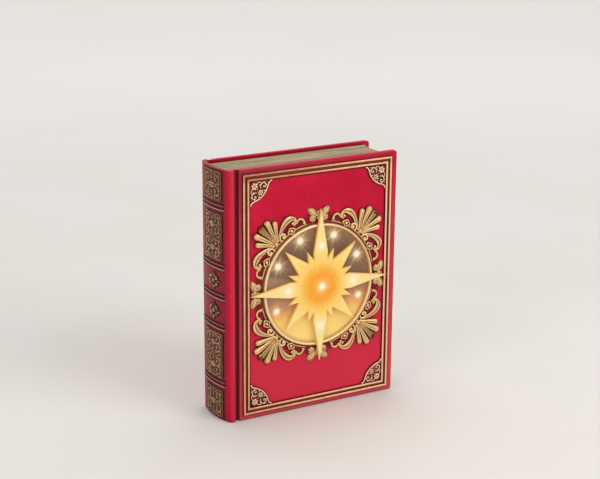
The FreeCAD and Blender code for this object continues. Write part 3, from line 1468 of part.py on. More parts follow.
def make_all_screws():
    """Case, light tray, battery box and timer board screws."""
    diagonal = size.tray_screw * math.sqrt(0.5)
    tray = [(size.window_x + sx * diagonal, size.window_height + sz * diagonal)
            for sx in (1, -1) for sz in (1, -1)]
    make_screws("tray_screws", tray, size.inner_front_y + size.tray_wall, size.small_screw, True)
    reach = size.bay_width / 2 + size.box_wall + size.box_flange / 2
    box = [(size.battery_x + sx * reach, size.battery_height + sz * size.bay_tall / 4)
           for sx in (1, -1) for sz in (1, -1)]
    make_screws("box_screws", box, size.inner_back_y - size.box_wall, size.small_screw, False)
    posts = [(size.battery_x + sx * size.post_reach, size.board_height) for sx in (1, -1)]
    make_screws("board_screws", posts, size.timer_front_y, size.small_screw, False)
    columns = [(x, z) for x in (size.column_left, size.column_right)
               for z in (size.column_low, size.column_high)]
    make_screws("case_screws", columns, size.back_y - size.sink_depth, size.case_screw, True)


def build():
    """Make every piece."""
    make_front_cover()
    make_back_cover()
    make_spine()
    make_page_block()
    make_rail("outer_rail", "dims.rail_margin")
    make_rail("inner_rail", "places.rail_inner")
    for label, side, end in (("corner_top_left", 1, -1), ("corner_top_right", -1, -1),
                             ("corner_bottom_left", 1, 1), ("corner_bottom_right", -1, 1)):
        make_corner(label, side, end)
    make_spine_panels()
    make_spine_medallion("spine_medallion_1", -1)
    make_spine_medallion("spine_medallion_2", 1)
    make_shells()
    make_rosettes()
    make_bezel()
    make_lens()
    make_star()
    make_tray()
    make_lamps()
    make_battery_box()
    make_cells()
    make_contacts()
    make_door()
    make_timer()
    make_knob()
    make_all_screws()
    make_lamp_string()
    make_leads()
    doc.recompute()


def write_parts():
    """Check every object and shape, then write one file for each piece."""
    for item in doc.Objects:
        if "Invalid" in item.State or "Error" in item.State:
            raise RuntimeError("%s failed: %s" % (item.Label, item.State))
    for piece in subparts:
        shape = piece.Shape
        if shape.isNull() or not shape.isValid() or not shape.Solids:
            raise RuntimeError("%s has no valid solid" % piece.Label)
    os.makedirs("parts", exist_ok=True)
    for piece in subparts:
        piece.Shape.exportStep("parts/%s.step" % piece.Label)
    print("%d pieces written" % len(subparts))


build()
write_parts()
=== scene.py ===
import math
import random

import bmesh
import bpy
from mathutils import Matrix, Vector


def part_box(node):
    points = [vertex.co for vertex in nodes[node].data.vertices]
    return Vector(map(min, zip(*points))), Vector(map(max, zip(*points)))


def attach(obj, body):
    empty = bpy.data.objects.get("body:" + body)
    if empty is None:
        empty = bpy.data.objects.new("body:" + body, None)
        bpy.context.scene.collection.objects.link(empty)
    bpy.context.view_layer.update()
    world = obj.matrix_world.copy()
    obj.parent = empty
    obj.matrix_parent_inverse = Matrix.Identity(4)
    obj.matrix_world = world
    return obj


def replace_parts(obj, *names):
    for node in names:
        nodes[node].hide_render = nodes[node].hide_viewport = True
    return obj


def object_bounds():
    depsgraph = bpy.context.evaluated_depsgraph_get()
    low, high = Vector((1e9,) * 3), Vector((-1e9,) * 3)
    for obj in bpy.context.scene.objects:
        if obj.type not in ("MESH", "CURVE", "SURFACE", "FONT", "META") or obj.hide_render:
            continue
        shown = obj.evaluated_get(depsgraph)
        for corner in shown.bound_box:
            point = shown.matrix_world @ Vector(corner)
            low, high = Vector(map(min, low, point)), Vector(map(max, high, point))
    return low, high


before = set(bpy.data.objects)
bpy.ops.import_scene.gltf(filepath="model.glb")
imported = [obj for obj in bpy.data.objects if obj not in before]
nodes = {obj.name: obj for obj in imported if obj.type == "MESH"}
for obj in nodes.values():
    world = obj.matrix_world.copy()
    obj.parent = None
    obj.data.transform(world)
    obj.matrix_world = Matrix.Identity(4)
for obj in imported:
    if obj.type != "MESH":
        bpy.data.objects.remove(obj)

cad_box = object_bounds()
scene = bpy.context.scene
rng = random.Random(7)

# Places read from the frame, in millimetres
MM = 0.001


def box_mm(node):
    """Lowest and highest corner of a CAD node in millimetres."""
    low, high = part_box(node)
    return low / MM, high / MM


def middle_mm(node):
    """Middle of the box of a CAD node in millimetres."""
    low, high = box_mm(node)
    return (low + high) / 2


def named(start="", end=""):
    """Names of the CAD nodes that start and end so."""
    return [name for name in nodes if name.startswith(start) and name.endswith(end)]


front_low = box_mm("front_cover")[0]
page_low, page_high = box_mm("page_block")
bezel_low, bezel_high = box_mm("window_bezel")
rail_low, rail_high = box_mm("outer_rail")
CORNERS, SHELLS, ROSETTES = named("corner_"), named("shell_"), named("rosette_")

# The two boards, and the groove between the spine and the boards
FRONT_Y = front_low.y
BACK_Y = box_mm("back_cover")[1].y
MIDDLE_Y = (FRONT_Y + BACK_Y) / 2
HALF_DEPTH = (BACK_Y - FRONT_Y) / 2
HINGE_LIP, HINGE_GROOVE = 2.2, 4.6
LIP_X = front_low.x + HINGE_LIP
BOARD_X = LIP_X + HINGE_GROOVE

# The spine: radius of its back, height of its gilt panels, and its raised bands by shares of its height
SPINE_CURVE, PANEL_RISE = 80, 0.7
SPINE_X = box_mm("spine_panel_2")[0].x + PANEL_RISE
PANEL_SHIFT = MIDDLE_Y - middle_mm("spine_panel_2").y
INNER_BAND, OUTER_BAND = 0.12045, 0.35227
SPINE_TALL = box_mm("spine")[1].z
BANDS = [SPINE_TALL * (0.5 + share) for share in (-OUTER_BAND, -INNER_BAND, 0, INNER_BAND, OUTER_BAND)]

# The window, and its ornament in hundredths of the radius of the bezel
WINDOW_X, _, WINDOW_Z = middle_mm("window_lens")
BEZEL = (bezel_high.x - bezel_low.x) / 2
UNIT = BEZEL / 100
SHELL_ROOT, LOBE_PITCH = 4.43, 17.8
HOLLOW_REACH = (47 - 6.6) * UNIT
LOZENGE_ANGLE = 28
DIAGONAL = math.sqrt(0.5)

# Corner pieces: length along the frame, radius of the swept edge and height of the ground
CORNER_LEG, CORNER_SWEEP, CORNER_GROUND = 21, 18.6, 0.7

# How deep raised work starts in the surface below it
SUNK = 0.03


def lamp_places(start):
    """Places of the lamps whose names start so, from the middle of the window."""
    middles = [middle_mm(name) for name in sorted(named(start))]
    return [(middle.x - WINDOW_X, middle.z - WINDOW_Z) for middle in middles]


WINDOW_LAMPS, RAY_LAMPS = lamp_places("led_window_"), lamp_places("led_ray_")


def srgb(red, green, blue, share=1):
    """Linear colour from screen values of 0 to 255, times a share."""
    def linear(v):
        v /= 255
        return share * (v / 12.92 if v <= 0.04045 else ((v + 0.055) / 1.055) ** 2.4)
    return (linear(red), linear(green), linear(blue), 1)


# Materials

def operator(name, swap=False):
    """Method of a value that adds a math node."""
    def method(self, other=0):
        return self.tree.math(name, *((other, self) if swap else (self, other)))
    return method


class Value:
    """Output of a shader node, to calculate with."""

    def __init__(self, tree, socket):
        self.tree = tree
        self.socket = socket

    __add__ = __radd__ = operator("ADD")
    __sub__ = operator("SUBTRACT")
    __rsub__ = operator("SUBTRACT", swap=True)
    __mul__ = operator("MULTIPLY")
    __truediv__ = operator("DIVIDE")
    __pow__ = operator("POWER")
    __abs__ = operator("ABSOLUTE")

    def smooth(self, low, high, start=0, end=1):
        """Smooth step from start to end between two limits."""
        inputs = dict(enumerate((self, low, high, start, end)))
        return self.tree.node("MapRange", inputs, interpolation_type="SMOOTHSTEP")

    def band(self, low, high, edge):
        """1 between two limits and 0 outside them, with soft edges."""
        return self.smooth(low - edge, low + edge) * self.smooth(high - edge, high + edge, 1, 0)


class Tree:
    """Node tree of a material or a world, with short calls for its nodes."""

    def __init__(self, owner):
        owner.use_nodes = True
        self.nodes = owner.node_tree.nodes
        self.links = owner.node_tree.links
        self.nodes.clear()

    def feed(self, target, value):
        """Link a value to a socket or set it there; three screen values become a linear colour."""
        if isinstance(value, Value):
            self.links.new(value.socket, target)
        elif target.type == "RGBA" and len(value) == 3:
            target.default_value = srgb(*value)
        else:
            target.default_value = value

    def node(self, kind, inputs, output=0, **settings):
        """Add a node with its settings and inputs, and give one of its outputs."""
        node = self.nodes.new("ShaderNode" + kind)
        for key, value in settings.items():
            setattr(node, key, value)
        for socket, value in inputs.items():
            self.feed(node.inputs[socket], value)
        return Value(self, node.outputs[output])

    def end(self, kind, shader):
        """Link a shader to the output of the tree."""
        self.links.new(shader, self.nodes.new(kind).inputs[0])

    def math(self, operation, *terms):
        return self.node("Math", dict(enumerate(terms)), operation=operation)


class Shade(Tree):
    """Material with a principled shader. Its place is the position on the part in millimetres."""

    def __init__(self, name, **inputs):
        self.mat = bpy.data.materials.new(name)
        super().__init__(self.mat)
        self.shader = self.nodes.new("ShaderNodeBsdfPrincipled")
        self.end("ShaderNodeOutputMaterial", self.shader.outputs[0])
        self.set(**inputs)
        metres = self.node("TexCoord", {}, "Object")
        self.place = self.node("VectorMath", {0: metres, "Scale": 1 / MM}, operation="SCALE")

    def set(self, **inputs):
        """Fill inputs of the shader, and give the material."""
        for name, value in inputs.items():
            socket = name.replace("_", " ").title().replace("Ior", "IOR")
            self.feed(self.shader.inputs[socket], value)
        return self.mat

    def axes(self):
        """The three coordinates of the place."""
        return [self.node("SeparateXYZ", {0: self.place}, axis) for axis in "XYZ"]

    def facing(self, x, y, z):
        """How far the surface faces a direction, from -1 to 1."""
        normal = self.node("TexCoord", {}, "Normal")
        return self.node("VectorMath", {0: normal, 1: (x, y, z)}, "Value", operation="DOT_PRODUCT")

    def stretch(self, x, y, z):
        """The place with its coordinates scaled."""
        return self.node("VectorMath", {0: self.place, 1: (x, y, z)}, operation="MULTIPLY")

    def mix(self, share, first, second):
        return self.node("Mix", {0: share, 6: first, 7: second}, 2, data_type="RGBA")

    def coats(self, colour, *layers):
        """Colour under layers, each a share from 0 to 1 and a colour."""
        for share, layer in layers:
            colour = self.mix(share, colour, layer)
        return colour

    def ramp(self, share, *stops):
        """Colour from stops, each a position from 0 to 1 and three screen values."""
        colour = self.node("ValToRGB", {0: share})
        elements = colour.socket.node.color_ramp.elements
        while len(elements) < len(stops):
            elements.new(0.5)
        for element, (position, *screen) in zip(elements, stops):
            element.position = position
            element.color = srgb(*screen)
        return colour

    def noise(self, scale, detail=3, rough=0.5, vector=None):
        """Noise at the place or at another vector."""
        inputs = {"Vector": vector or self.place, "Scale": scale, "Detail": detail, "Roughness": rough}
        return self.node("TexNoise", inputs)

    def crevice(self, distance):
        """Openness of a place: 1 in the open and 0 deep in a corner."""
        return self.node("AmbientOcclusion", {"Distance": distance * MM}, "AO", samples=6)

    def bump(self, height, depth, strength):
        """Roughen the surface by so many millimetres."""
        inputs = {"Height": height, "Distance": depth * MM, "Strength": strength}
        self.set(normal=self.node("Bump", inputs))

    def length(self, u, v):
        return self.math("SQRT", u * u + v * v)

    def window(self):
        """Coordinates from the middle of the window, and the distance from it."""
        x, _, z = self.axes()
        across, height = x - WINDOW_X, z - WINDOW_Z
        return across, height, self.length(across, height)

    def round_about(self, across, height, radius):
        """Direction from the middle of the window, as a point on a circle of some radius."""
        angle = self.math("ARCTAN2", height, across)
        return self.node("CombineXYZ", {0: self.math("COSINE", angle) * radius,
                                        1: self.math("SINE", angle) * radius})

    def spark(self, across, height, lamp, core, halo, rays=(), strength=1):
        """Glow of one lamp: soft core, halo and fine rays, from 0 to about 1.5."""
        du, dv = across - lamp[0], height - lamp[1]
        far = self.length(du, dv)
        core_glow = far.smooth(0, core * 2.4, 1, 0) ** 1.9
        halo_glow = far.smooth(0, halo, 1, 0) ** 2.2
        glow = core_glow * strength + halo_glow * 0.56
        for count, start, sharp, reach in rays:
            angle = self.math("ARCTAN2", dv, du) * count + (start + lamp[0] * 0.05)
            spoke = abs(self.math("COSINE", angle)) ** sharp
            glow = glow + spoke * far.smooth(0, halo * reach, 1, 0) ** 1.5 * 0.27
        return glow


def frame_glaze_and_shade(s, x, z, colour):
    """Dulled margin, painted shade on it and along the rails, and dark glaze between the rails."""
    middle, half = (rail_low + rail_high) / 2, (rail_high - rail_low) / 2
    away = s.math("MAXIMUM", abs(x - middle.x) - half.x, abs(z - middle.z) - half.z)
    head = z.smooth(rail_high.z - 9, rail_high.z - 7)
    # Painted shade just outside the outer rail, darker on the side by the spine
    beyond = away.smooth(-0.4, 0) * away.smooth(0.2, 3, 1, 0) * 0.5
    # Painted shadow just inside the inner rail, strongest under the head
    inside = away.smooth(-8, -6) * away.smooth(-5.6, -5.2, 1, 0) * (head * 0.4 + 0.55)
    # The margin dulled, most at the top and left, where it is painted shade
    dull = x.smooth(rail_low.x, rail_high.x, 0.36, 0.14) * z.smooth(4, 40, 0.35, 1)
    margin = away.smooth(-0.5, 0.5)
    return s.coats(colour, (margin * dull, (126, 58, 64)),
                   # Paler pink on the margin below its head
                   (margin * z.smooth(150, 214, 0.13, 0), (226, 140, 126)),
                   (beyond * x.smooth(rail_low.x, rail_high.x, 1, 0.5), (96, 22, 24)),
                   (inside, (58, 4, 10)), (away.band(-4.3, -1.6, 0.35), (134, 60, 32)))


def ring_brown_and_shade(s, colour):
    """Brown band at the foot of the bezel, and painted shade, a darker red, between the scrolls."""
    far = s.window()[2]
    return s.coats(colour, (far.band(BEZEL, BEZEL + 8.5, 2.4) * 0.72, (98, 8, 28)),
                   (far.band(BEZEL - 2, BEZEL + 1.4, 0.5) * 0.85, (134, 78, 50)))


def band_lines_and_highlights(s, y, z, colour):
    """Dark lines beside the ridges of the raised bands, and painted highlights on the ridges."""
    near = abs(z - BANDS[0])
    for height in BANDS[1:]:
        near = s.math("MINIMUM", near, abs(z - height))
    across = abs(y - MIDDLE_Y).smooth(17.4, 19.5, 1, 0)
    # Painted highlight on the ridges
    crest = near.band(1.2, 2.4, 0.25) * across
    lines = near.smooth(3.7, 4.7, 1, 0) * (1 - crest) * across
    # Brighter painted highlight on the lower ridge of each band
    under = sum((height - z).band(1.35, 2.3, 0.3) for height in BANDS)
    return s.coats(colour, (lines * 0.92, (70, 12, 18)), (crest * 0.8, (150, 88, 78)),
                   (under * across * 0.7, (206, 150, 136)))


def cover_red(name, where):
    """Glossy crimson paint, mottled, with dark glaze and painted shade in its hollows."""
    s = Shade(name, coat_weight=0.06, coat_roughness=0.14, specular_ior_level=0.1)
    x, y, z = s.axes()
    clouds, specks = s.noise(0.022, 4, 0.6), s.noise(0.35, 5, 0.65)
    tone = s.ramp(clouds * 0.75 + specks * 0.25,
                  (0.3, 176, 4, 42), (0.5, 196, 10, 52), (0.7, 206, 26, 62))
    pale_red = (214, 50, 72)
    if where == "spine":
        # Painted highlight along the front shoulder of the spine, and painted shade, a darker red, behind
        # it
        tone = s.coats(tone, (y.smooth(FRONT_Y, FRONT_Y + 2, 0.6, 0), pale_red),
                       (y.smooth(FRONT_Y + 1, FRONT_Y + 7, 0, 0.75), (122, 24, 38)))
    else:
        # Lighter and pinker towards the bottom
        tone = s.mix(z.smooth(10, 150, 0.85, 0), tone, pale_red)
    # Dark glaze and painted shade in the hollows and round the relief
    crevice_glaze_and_shade = s.crevice(2.6) + (specks - 0.5) * 0.22
    colour = s.mix(crevice_glaze_and_shade.smooth(0.45, 0.92), (44, 6, 12), tone)
    if where == "front":
        colour = ring_brown_and_shade(s, frame_glaze_and_shade(s, x, z, colour))
    if where == "spine":
        colour = band_lines_and_highlights(s, y, z, colour)
    else:
        groove = (abs(y - MIDDLE_Y).smooth(HALF_DEPTH - 1.2, HALF_DEPTH - 0.4, 1, 0)
                  * x.band(LIP_X, BOARD_X + 0.3, 0.3) * s.facing(0, -1 if where == "front" else 1, 0))
        colour = s.mix(groove, colour, (108, 28, 42))
    s.bump(specks * 0.7 + s.noise(1.4, 4, 0.6) * 0.3, 0.1, 0.55)
    return s.set(base_color=colour, roughness=specks.smooth(0.2, 0.8, 0.28, 0.44))


def above_front(s):
    """Height above the front board in millimetres."""
    return FRONT_Y - s.axes()[1]


def above_spine(s):
    """Height above the curved back of the spine in millimetres."""
    x, y, _ = s.axes()
    return s.length(SPINE_X + SPINE_CURVE - x, y - MIDDLE_Y) - SPINE_CURVE


# Antique gold from its hollows to its crests: glaze and painted shade low, painted highlight high
WARM_GOLD = ((0.16, 34, 12, 4), (0.36, 92, 50, 18), (0.56, 156, 106, 50),
             (0.76, 194, 146, 86), (0.96, 230, 190, 132))
PINK_GOLD = ((0.16, 56, 16, 8), (0.36, 108, 50, 26), (0.56, 166, 98, 68),
             (0.76, 208, 142, 106), (0.96, 248, 194, 158))
OPENWORK_GOLD = ((0.16, 86, 32, 14), (0.36, 126, 60, 32), (0.56, 186, 124, 86),
                 (0.76, 224, 168, 130), (0.98, 252, 216, 186))
BRIGHT_GOLD = ((0.1, 70, 34, 14), (0.35, 136, 86, 40), (0.6, 200, 148, 84),
               (0.8, 234, 190, 124), (1, 254, 218, 164))
# Darker gold for the spine, as painted shade on the side turned from the light
DARK_GOLD = ((0.16, 56, 18, 14), (0.4, 90, 42, 30), (0.62, 130, 82, 54),
             (0.82, 170, 122, 84), (1, 216, 172, 132))
GOLD_PAINT = {"metallic": 0.25, "specular_ior_level": 0.35}
FRONT, SPINE = (0, -1, 0), (-1, 0, 0)


def gilt(name, low, high, stops, rise_share, deep, darker_of=None, stain=None, height_of=above_front,
         out=FRONT):
    """Antique gold: painted light facing out, painted shade on flanks, glaze and painted shade in hollows.
    """
    s = Shade(name, **GOLD_PAINT)
    specks, patches = s.noise(0.9, 4, 0.6), s.noise(0.14)
    rise = height_of(s).smooth(low, high)
    face = s.facing(*out).smooth(0.35, 1)
    openness = s.crevice(2)
    rest = 1 - rise_share
    # Brighter on crests and facing out, as painted light; darker in hollows, as glaze and painted shade
    level = (rise * rise_share + face * (rest * 0.6) + openness.smooth(0.25, 0.9) * (rest * 0.4)
             + openness.smooth(0.4, 0.85, -deep, 0) + (specks - 0.5) * 0.42 + (patches - 0.5) * 0.3)
    if darker_of:
        level = level - darker_of(s)
    colour = s.ramp(level, *stops)
    if stain:
        colour = s.mix(s.noise(0.22, 4, 0.65).smooth(0.44, 0.62, 0, 0.62), colour, stain)
    s.bump(specks, 0.12, 0.55)
    return s.set(base_color=colour, roughness=level.smooth(0.2, 0.9, 0.55, 0.3))


def palmette(s):
    """Darker glaze and painted shade in the hollow middle lobe of the four shells and between their lobes.
    """
    across, height, _ = s.window()
    u, v = abs(across), abs(height)
    along = (u + v) * DIAGONAL - (BEZEL + SHELL_ROOT * UNIT)
    side = abs((v - u) * DIAGONAL)
    reach = s.math("MINIMUM", along / HOLLOW_REACH, 1)
    inner = (side - reach * (4.2 * UNIT)).smooth(-0.4, 0.3, 1, 0)
    hollow = inner * along.smooth(12 * UNIT, 20 * UNIT) * 0.30
    far, angle = s.length(along, side), s.math("ARCTAN2", side, along)
    seams = [abs((angle - math.radians(LOBE_PITCH * lobes)) * far).smooth(0.1, 0.75, 0.5, 0)
             for lobes in (0.5, 1.5)]
    return s.math("MAXIMUM", hollow, s.math("MAXIMUM", *seams) * far.smooth(4 * UNIT, 9 * UNIT))


def upper_left_shade(s):
    """Painted shade on the head of the frame and beside the spine, and painted light on its far side."""
    x, _, z = s.axes()
    head = z.smooth(rail_high.z - 8, rail_high.z - 4, 0, 0.2)
    return head + x.smooth(rail_low.x, rail_high.x, 0.1, -0.12)


def bezel_gilt():
    """Gold ring: cream crest as painted highlight, golden flank beside the lens and a brown outer wall."""
    s = Shade("bezel_gilt", **GOLD_PAINT)
    across, height, far = s.window()
    specks, patches = s.noise(0.8, 4, 0.6), s.noise(0.07)
    level = far + (specks - 0.5) * 0.5 + (patches - 0.5) * 1.2
    colour = s.ramp(level.smooth(BEZEL - 2.7, BEZEL + 0.3),
                    (0, 232, 186, 120), (0.14, 248, 208, 150), (0.34, 255, 232, 194),
                    (0.7, 250, 216, 170), (0.92, 204, 156, 108), (1, 190, 142, 96))
    # Painted shade on the upper right of the ring
    shaded = (across + height).smooth(0.75 * BEZEL, 1.35 * BEZEL, 0, 0.5)
    colour = s.mix(shaded, colour, (196, 140, 84))
    # Painted shade at the foot of the outer wall
    colour = s.mix(above_front(s).smooth(-0.2, 0.7), (112, 64, 34), colour)
    s.bump(specks, 0.08, 0.4)
    return s.set(base_color=colour, roughness=specks.smooth(0.2, 0.8, 0.28, 0.42))


def smoky_lens():
    """Smoky pane glowing as painted light: golden from below, with the painted glow of the lamps behind
    it.
    """
    s = Shade("smoky_lens", roughness=0.16, specular_ior_level=0.12, emission_strength=0.66)
    across, height, far = s.window()
    radius, upper_halo, lower_halo = 52, 15.5, 10.5
    level = height + (s.noise(0.06) - 0.5) * 22
    tone = s.ramp((level + radius) / (2 * radius),
                  (0.04, 255, 220, 126), (0.21, 252, 206, 114), (0.29, 232, 166, 94), (0.38, 178, 124, 92),
                  (0.5, 138, 102, 82), (0.8, 122, 92, 74), (1, 150, 116, 84))
    beams = s.noise(1, 2, vector=s.round_about(across, height, 2.2)).smooth(0.44, 0.7)
    # Painted light beams, painted shade along the rim and painted shadow round the star
    tone = s.coats(tone, (beams * 0.38, (216, 178, 138)), (far.smooth(48, 51.5, 0, 0.32), (196, 136, 70)),
                   (s.crevice(9).smooth(0.35, 0.95, 0.36, 0), (116, 68, 30)))
    rays = ((4, 0.3, 60, 1.5), (3, 1.1, 90, 1.9))
    glow = sum(s.spark(across, height, lamp, 2.3, upper_halo if lamp[1] > 0 else lower_halo, rays)
               for lamp in WINDOW_LAMPS)
    tone = s.coats(tone, (glow.smooth(0, 1), (255, 224, 166)), (glow.smooth(0.6, 1.4), (255, 250, 232)))
    return s.set(base_color=s.mix(0.68, tone, (20, 14, 10)), emission_color=tone)


def amber_star():
    """Translucent star glowing as painted light from behind: orange middle, yellow rays and hot spots."""
    s = Shade("amber_star", roughness=0.34, specular_ior_level=0.15, emission_strength=0.6)
    across, height, far = s.window()
    ray_reach, head_height = 68, 9
    streaks = s.noise(1, 4, 0.7, s.round_about(across, height, 9))
    push = (streaks - 0.5) * 17 * far.smooth(8, 30, 1, 0)
    tone = s.ramp((far + push) / ray_reach,
                  (0, 255, 214, 128), (0.06, 253, 182, 76), (0.16, 250, 160, 50), (0.24, 252, 184, 74),
                  (0.31, 254, 208, 104), (0.5, 252, 222, 136), (1, 248, 228, 156))
    glow = s.spark(across, height, (0, 0), 2.2, 12, ((4, 0, 60, 1.3), (3, 0.7, 70, 1.2)))
    for u, v in RAY_LAMPS:
        if v > head_height:
            glow = glow + s.spark(across, height, (u, v), 2, 16)
        else:
            glow = glow + s.spark(across, height, (u * 0.9, v), 3, 24, strength=0.5)
    # Painted shade on the bevels that turn away from the front
    edge = s.facing(*FRONT).smooth(0.55, 0.95, 0.55, 0)
    tone = s.coats(tone, (glow.smooth(0, 1.1), (255, 242, 200)), (glow.smooth(0.8, 1.6), (255, 252, 240)),
                   (edge, (214, 150, 66)))
    flank = above_front(s).smooth(3.2, 5)
    tone = s.mix(flank, s.mix(0.55, tone, (196, 120, 40)), tone)
    s.bump(s.noise(0.5), 0.05, 0.3)
    return s.set(base_color=s.mix(0.62, tone, (24, 14, 4)), emission_color=tone)


def page_paper():
    """Cream page edges: fine streaks along the leaves, with darker and lighter ones."""
    s = Shade("page_paper", roughness=0.72)
    leaves = s.noise(1, 4, 0.7, s.stretch(0.012, 2.6, 0.012))
    bundles = s.noise(1, 3, 0.6, s.stretch(0.02, 0.35, 0.02))
    stains = s.noise(0.05, 4, 0.6)
    colour = s.ramp(leaves * 0.55 + bundles * 0.25 + stains * 0.2, (0.3, 130, 112, 80),
                    (0.46, 170, 154, 120), (0.58, 188, 174, 142), (0.74, 208, 196, 168))
    s.bump(leaves, 0.15, 0.6)
    # Darker in the crevices between the leaves, as painted shade
    return s.set(base_color=s.mix(s.crevice(5).smooth(0.15, 0.9), (84, 58, 36), colour))


def moulded(name, colour, roughness):
    """Moulded plastic with a faint texture."""
    s = Shade(name)
    specks, patches = s.noise(1.6, 4, 0.6), s.noise(0.08)
    s.bump(specks, 0.05, 0.5)
    return s.set(base_color=s.mix(patches.smooth(0.3, 0.7), srgb(*colour, 0.78), colour),
                 roughness=specks.smooth(0.2, 0.8, roughness - 0.06, roughness + 0.08))


def steel(name, colour, roughness):
    """Plated steel with fine scratches."""
    s = Shade(name, metallic=1)
    brush = s.noise(1, 3, 0.6, s.stretch(0.3, 6, 6))
    s.bump(brush, 0.02, 0.4)
    return s.set(base_color=s.mix(brush.smooth(0.25, 0.75), srgb(*colour, 0.6), colour),
                 roughness=brush.smooth(0.2, 0.8, roughness - 0.08, roughness + 0.12))


def cell_jacket():
    """Battery jacket: blue body, pale bands and bare steel at both ends."""
    s = Shade("cell_jacket", roughness=0.3)
    out = abs(s.axes()[0] - middle_mm("battery_cell_1").x)
    band, end = out.smooth(17.8, 18), out.smooth(22.6, 22.8)
    specks = s.noise(0.6)
    blue = s.mix(specks.smooth(0.3, 0.7), (30, 52, 104), (40, 66, 122))
    jacket = s.mix(band, blue, (206, 206, 200))
    s.bump(specks, 0.03, 0.3)
    return s.set(base_color=s.mix(end, jacket, (168, 168, 166)), metallic=end)


def lamp_epoxy():
    """Clear lamp body, lit warm white."""
    s = Shade("lamp_epoxy", roughness=0.15, emission_strength=1.2)
    tone = s.mix(s.noise(0.8, 2).smooth(0.3, 0.7), (255, 236, 190), (255, 246, 218))
    return s.set(base_color=tone, emission_color=tone)


def paint(material, *names):
    """Give CAD nodes a material."""
    for name in names:
        mesh = nodes[name].data
        mesh.materials.clear()
        mesh.materials.append(material)
    return material


# Brighter copy of the gilt for the rims, ribs and veins, as painted highlight
FLUTE_GILT = gilt("flute_gilt", -0.6, 1.8, BRIGHT_GOLD, 0.5, 0.1)
# Dark brown strands and plates in the grooves of the relief: antique glaze and painted shade
GLAZE_AND_SHADE = moulded("antique_glaze", (84, 46, 20), 0.5)
FRONT_GILT = paint(gilt("front_gilt", 0, 1.6, WARM_GOLD, 0.35, 0.34, palmette), *SHELLS, *ROSETTES)
FILIGREE_GILT = paint(gilt("filigree_gilt", 0.72, 1.8, OPENWORK_GOLD, 0.7, 0.12), *CORNERS)
SPINE_GILT = paint(gilt("spine_gilt", 0.72, 1.25, DARK_GOLD, 0.7, 0.12, None, (84, 62, 34),
                        above_spine, SPINE), *named("spine_"))
RED_BACK = paint(cover_red("cover_red_back", "back"), "back_cover", "battery_door")
PAPER = paint(page_paper(), "page_block")
SCREW = paint(steel("screw_steel", (150, 146, 140), 0.34), *named(end="_screws"))
paint(gilt("rail_gilt", 0.55, 1.5, PINK_GOLD, 0.72, 0, upper_left_shade), "outer_rail", "inner_rail")
paint(cover_red("cover_red_front", "front"), "front_cover")
paint(cover_red("cover_red_spine", "spine"), "spine")
paint(bezel_gilt(), "window_bezel")
paint(smoky_lens(), "window_lens")
paint(amber_star(), "star")
paint(lamp_epoxy(), *named("led_"))
paint(cell_jacket(), *named("battery_cell_"))
paint(steel("contact_steel", (198, 198, 194), 0.28), "switch_body", *named("contact_"))
paint(moulded("tray_white", (236, 234, 226), 0.5), "light_tray")
paint(moulded("box_black", (34, 34, 36), 0.48), "lead_black", "battery_box", "timer_chip", "switch_knob")
paint(moulded("board_green", (34, 92, 58), 0.4), "timer_board")
paint(moulded("wire_clear", (176, 160, 132), 0.35), "led_string")
paint(moulded("wire_red", (176, 30, 28), 0.4), "lead_red")


# Fine relief, drawn flat as across, up and height and then laid on a surface

def rotate(u, v, degrees):
    """Point turned about the origin."""
    cosine, sine = math.cos(math.radians(degrees)), math.sin(math.radians(degrees))
    return (u * cosine - v * sine, u * sine + v * cosine)


def offset(start, far, degrees):
    """Point so far from a start point in a direction."""
    du, dv = rotate(far, 0, degrees)
    return (start[0] + du, start[1] + dv)


def bearing(start, end):
    """Distance and direction from one point to another."""
    du, dv = end[0] - start[0], end[1] - start[1]
    return math.hypot(du, dv), math.degrees(math.atan2(dv, du))


def spread(function, steps):
    """Values of a function at even steps from 0 to 1."""
    return [function(i / steps) for i in range(steps + 1)]


def straight(start, end, steps):
    """Points along a straight line."""
    (u0, v0), (u1, v1) = start, end
    return spread(lambda t: (u0 + (u1 - u0) * t, v0 + (v1 - v0) * t), steps)


def arch(t):
    """0 at both ends of the way and 1 in its middle."""
    return math.sin(math.pi * t)


def ball_radius(half, rise):
    """Radius of a ball of which a cap is so wide from its middle and so high."""
    return (half ** 2 + rise ** 2) / (2 * rise)


def plain(u, v):
    """Point as it is."""
    return (u, v)


def swapped(u, v):
    """Point mirrored in the diagonal."""
    return (v, u)


def add_object(name, data):
    """New object in the scene."""
    item = bpy.data.objects.new(name, data)
    scene.collection.objects.link(item)
    return item


def finish_mesh(mesh, material, body="case", smooth=False):
    """Turn the faces of a mesh outwards, and make it a piece that rides on a body."""
    work = bmesh.new()
    work.from_mesh(mesh)
    bmesh.ops.recalc_face_normals(work, faces=work.faces)
    work.to_mesh(mesh)
    work.free()
    for polygon in mesh.polygons:
        polygon.use_smooth = smooth
    mesh.materials.append(material)
    piece = add_object(mesh.name, mesh)
    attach(piece, body)
    return piece


